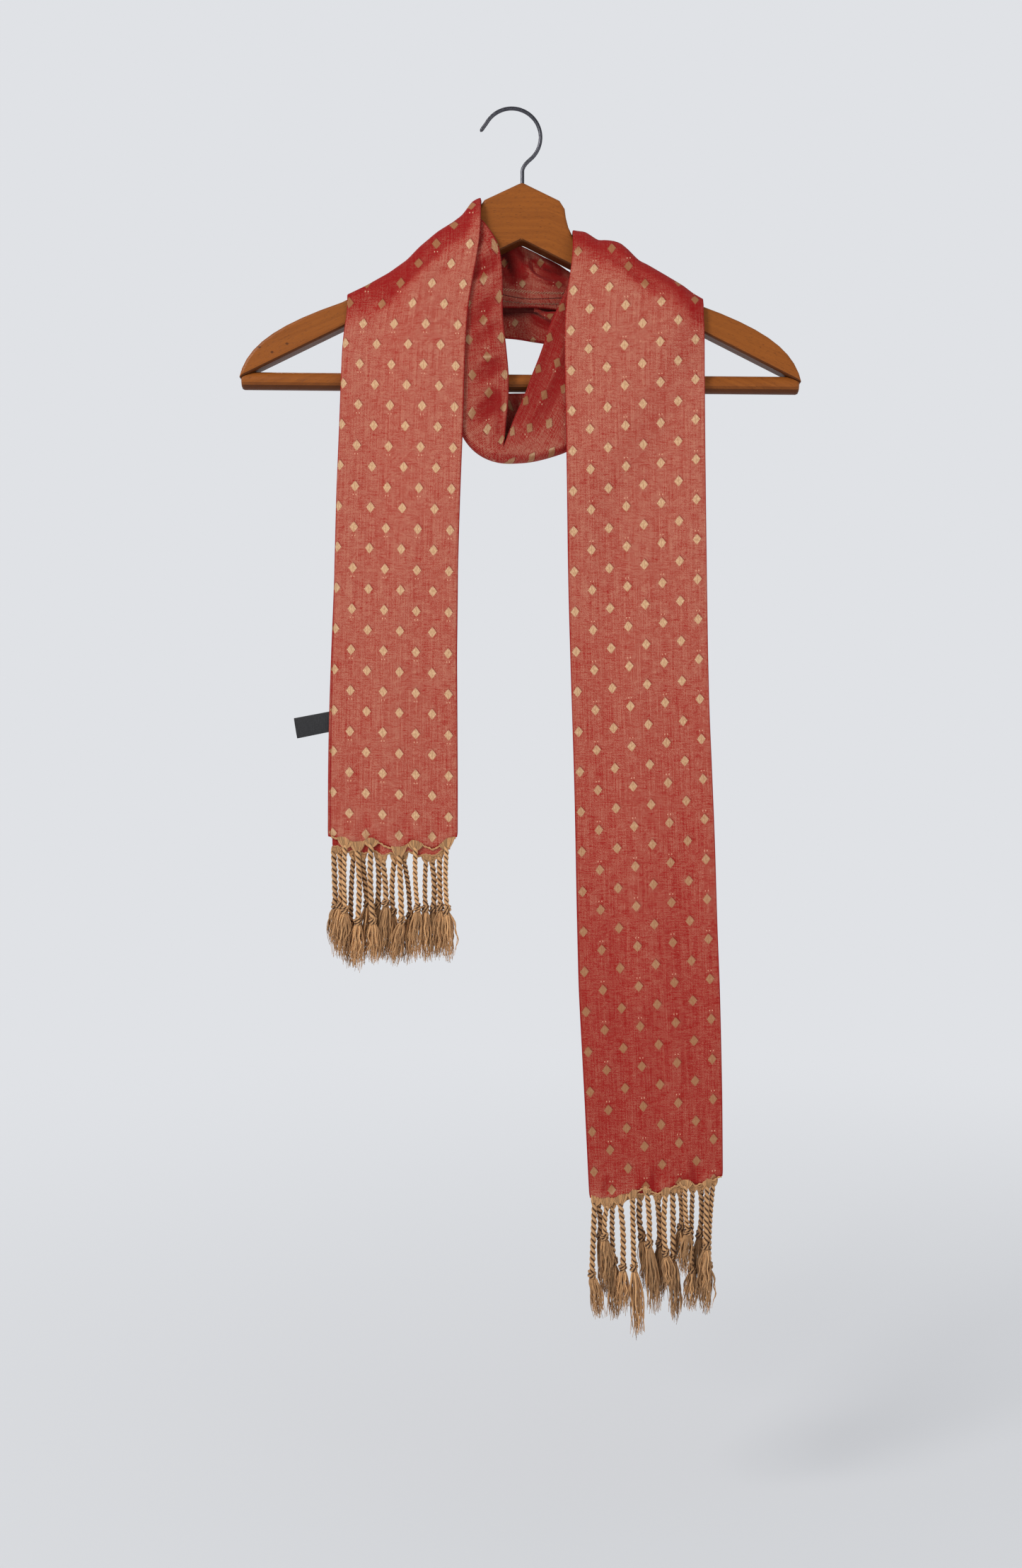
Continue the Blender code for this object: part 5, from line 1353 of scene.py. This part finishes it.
def build_wrap(wrap, ridge, tail, last_row):
    """One stretch behind the neck, between the loop's end on one arm and a tail's end on the other."""
    ends = [(wrap_end(ridge), DOUBLE_THICK), (tail_end(last_row, tail.side), SHOULDER_THICK)]
    (first, first_thick), (last, last_thick) = ends[:: tail.side]
    grid = wrap_grid(first, wrap.rows, last, tail)
    thick = through([first_thick, *[row[-1] for row in wrap.rows], last_thick], WRAP_ROWS)[:, None]
    face, rear = relief(grid, wrap.folds), np.minimum(relief(grid, wrap.back_folds), 0)
    base, more, depth = wrap.redness
    # painted shade: redder in the troughs of the folds
    redder = base + more * smooth_step(-face / depth) + relief(grid, wrap.reds)
    x, z = grid[..., 0], grid[..., 2]
    dots = lattice(wrap.slant * x - z, x, WRAP_SPACING, wrap.phase)
    if wrap is UPPER:
        hem = (z < np.interp(x, *np.array(SLANTED_ROW).T) + 1.5) & (x < HEM_END_X)
        dots[hem], redder[hem] = BETWEEN_DOTS, HEM_RED
    # painted shade in the wrap's creases and under the upper wrap's hem
    shape, painted_shadow = (grid, thick, (face, rear), (2, 2)), relief(grid, wrap.painted_shades)
    name = "cloth_" + wrap.name
    return cloth_piece(name, shape, band_threads(grid), dots, redder, wrap_cloth, [wrap.name], painted_shadow)


def build_shadow_lip(face):
    """The turned edge under the upper wrap's hem, a strip of cloth darkened with painted shadow where the hem
    throws its shade.
    """
    x = np.linspace(*LIP_ENDS_X, 40)
    top = LIP_TOP_Z - 8 * smooth_step((x - 40) / 22)
    y = np.array([on_face(face, at, LIP_TOP_Z - 1.5) for at in x]) + LIP_BEHIND
    grid = np.array([places(x, y, blend(LIP_LOW_Z, top, share)) for share in np.linspace(0, 1, 8)])
    shape, threads = (grid, LIP_THICK, (0.0, 0.0), (1, 1)), band_threads(grid)
    return cloth_piece("cloth_wrap_lip_painted_shadow", shape, threads, BETWEEN_DOTS, LIP_RED, wrap_cloth, (), LIP_PAINTED_SHADOW)[0]


def build_sewing(face):
    sewing = Strands()
    for line, step, slopes, length, shade in STITCH_ROWS:
        for k, place in enumerate(evenly(line, step)):
            ahead = np.array([length / 2, length / 2 * slopes[k % 2]])
            path = []
            for share, depth in zip((1, 0.5, 0, -0.5, -1), STITCH_DEPTHS, strict=True):
                x, z = place - ahead * share
                path.append((x, on_face(face, x, z) + depth, z))
            sewing.add(path, STITCH_RADIUS, 5, shade + 0.3 * ((k * 7) % 5) / 5)
    for x, z in evenly(HEM_GROOVE, SEAM_STEP):
        path = [(a, on_face(face, a, z) - 0.1, z) for a in (x - 0.55, x, x + 0.55)]
        sewing.add(path, SEAM_RADIUS, 5, SEAM_SHADE)
    return sewing.piece("hem_stitches", stitch_yarn, "cloth")


def build_label(face):
    """The ribbon from the tail's edge out to its fold and back, a little open."""
    top_right, top_left, low_left, low_right = [np.array([x, 0, z]) for x, z in LABEL_CORNERS]
    depth = on_face(face, *LABEL_SEWN_AT) + 1.0
    share = np.linspace(0, 1, 9)
    rows = []
    for reach in np.linspace(-1, 1, 40):
        inward = abs(reach) ** 1.6
        a, b = blend(top_left, top_right, inward), blend(low_left, low_right, inward)
        y = depth + 0.55 * np.sign(reach) * min(1, abs(reach) * 5) + 0.35 * math.sin(3 * inward)
        row = blend(a, b, share[:, None])
        row[:, 1] += y + 0.25 * np.sin(math.pi * share) * np.sign(reach)
        rows.append(row)
    mesh = single_layer("ribbon_label", np.array(rows), LABEL_THICK)
    return add_piece(mesh, ribbon_material(), "label", "label")


def build_hook():
    middle, foot = np.array(HOOK_CENTRE), np.array(STEM_TOP)
    angles = np.radians(np.linspace(HOOK_OPEN_ANGLE, HOOK_LOW_ANGLE, 61))
    arc = [middle + HOOK_RADIUS * np.array([math.cos(a), math.sin(a)]) for a in angles]
    low = arc[-1]
    bend = np.array([foot[0], low[1] - (low[0] - foot[0]) * math.tan(math.radians(90 + HOOK_LOW_ANGLE))])
    sweep = [low * (1 - t) ** 2 + 2 * bend * t * (1 - t) + foot * t**2 for t in np.linspace(0, 1, 14)[1:]]
    route = evenly([HOOK_TIP, *arc, *sweep, STEM_FOOT], 0.8)
    radii = WIRE_RADIUS * np.minimum(1, np.sqrt(0.05 + np.arange(len(route)) * 0.55))
    wire = Strands()
    wire.add(places(route[:, 0], 0, route[:, 1]), radii, 20, 0.5)
    return wire.piece("hook_wire", steel_material(), "hook", "hanger_hook")


red_cloth = cloth_material("woven cotton, left", LEFT_SPACING, -1)
red_cloth_right = cloth_material("woven cotton, right", RIGHT_SPACING, 1)
# painted shade: the loop and the neck take copies of the cloth toned darker, as they lie in the shade of the
# tails and the hanger
loop_cloth = cloth_material("woven cotton, loop", LOOP_SPACING, -1, 0.84)
wrap_cloth = cloth_material("woven cotton, neck", (33.0, 43.0), -1, 0.84)
yarn = yarn_material("cotton yarn", FRINGE_DARK, FRINGE_LIGHT)
stitch_yarn = yarn_material("sewing thread", SEWING_DARK, SEWING_LIGHT)

left_tail, left_grid, left_last, left_faces = build_tail(LEFT_TAIL, red_cloth)
right_tail, right_grid, right_last, right_faces = build_tail(RIGHT_TAIL, red_cloth_right)
left_hem = hem_parts(LEFT_TAIL, left_grid, left_faces[0], red_cloth)
right_hem = hem_parts(RIGHT_TAIL, right_grid, right_faces[0], red_cloth_right)
loop = build_loop()
upper_wrap, upper_faces = build_wrap(UPPER, LOOP_LEFT_RIDGE, RIGHT_TAIL, right_last)
lower_wrap, _ = build_wrap(LOWER, LOOP_RIGHT_RIDGE, LEFT_TAIL, left_last)
# a strip of cloth with painted shadow, under the upper wrap's hem
shadow_lip = build_shadow_lip(upper_faces[1])
stitches = build_sewing(min(upper_faces, key=lambda face: face[..., 1].mean()))
label = build_label(max(left_faces, key=lambda face: face[..., 1].mean()))
wood = wood_material()
for name in ("hanger_yoke", "hanger_bar"):
    nodes[name].data.materials.clear()
    nodes[name].data.materials.append(wood)
build_hook()

# Studio: a pale floor that fades into the backdrop, which lights less than it shows
FLOOR_Z = -1.12
FLOOR_FADE = (-0.9, 2.4)  # where the floor starts to fade, and where it has faded, from the middle out
AMBIENT = 0.5
bpy.context.scene.world = bpy.context.scene.world or bpy.data.worlds.new("studio")
backdrop = Graph(bpy.context.scene.world, "Background", color=WALL_LIGHT)
soft_light = backdrop.add("ShaderNodeBackground", {"Color": WALL_LIGHT, "Strength": AMBIENT})
backdrop.mix_shader(backdrop.add("ShaderNodeLightPath", output="Is Camera Ray"), soft_light, None)
bpy.context.scene.view_settings.view_transform = "Standard"

bpy.ops.mesh.primitive_plane_add(size=60, location=(0, 0, FLOOR_Z))
floor = bpy.context.object
floor.name = "studio_floor"
pale = Graph("pale floor", base_color=FLOOR_GREY, roughness=0.9, specular_ior_level=0.1)
pale.set("Emission Color", WALL_LIGHT)
x, y, _ = pale.split(pale.place())
clear = pale.add("ShaderNodeEmission", {"Color": WALL_LIGHT, "Strength": 1.0})
pale.mix_shader(pale.ramp(pale.math("SQRT", x * x + y * y), *FLOOR_FADE), None, clear)
floor.data.materials.append(pale.owner)


def area_light(name, place, aim, size, power, colour=(1.0, 1.0, 1.0)):
    light = bpy.data.lights.new(name, "AREA")
    light.shape = "DISK"
    light.size, light.energy, light.color = size, power, colour
    lamp = bpy.data.objects.new(name, light)
    bpy.context.scene.collection.objects.link(lamp)
    lamp.location = place
    lamp.rotation_euler = (Vector(aim) - Vector(place)).to_track_quat("-Z", "Y").to_euler()


area_light("key", (-1.7, -1.9, 1.2), (0.0, 0.0, -0.4), 1.1, 50.0, (1.0, 0.98, 0.95))
area_light("fill", (1.8, -1.8, -0.2), (0.0, 0.0, -0.5), 1.8, 10.0)
area_light("back", (-0.9, 2.2, 0.9), (0.0, 0.0, -0.5), 1.5, 22.0)

# Camera: level, as far off as the photograph's perspective says
CAMERA_PLACE = (0.0014, -1.308, -0.5291)
VIEW_HALF_HEIGHT = 0.6122  # what it sees of the tails' plane, up or down
VIEW_DISTANCE = 1.3
camera = bpy.data.cameras.new("camera")
camera.sensor_fit = "VERTICAL"
camera.sensor_height = 24.0
camera.lens = camera.sensor_height / 2 * VIEW_DISTANCE / VIEW_HALF_HEIGHT
stand = bpy.data.objects.new("camera", camera)
bpy.context.scene.collection.objects.link(stand)
stand.location = CAMERA_PLACE
stand.rotation_euler = (math.radians(90), 0, 0)
bpy.context.scene.camera = stand
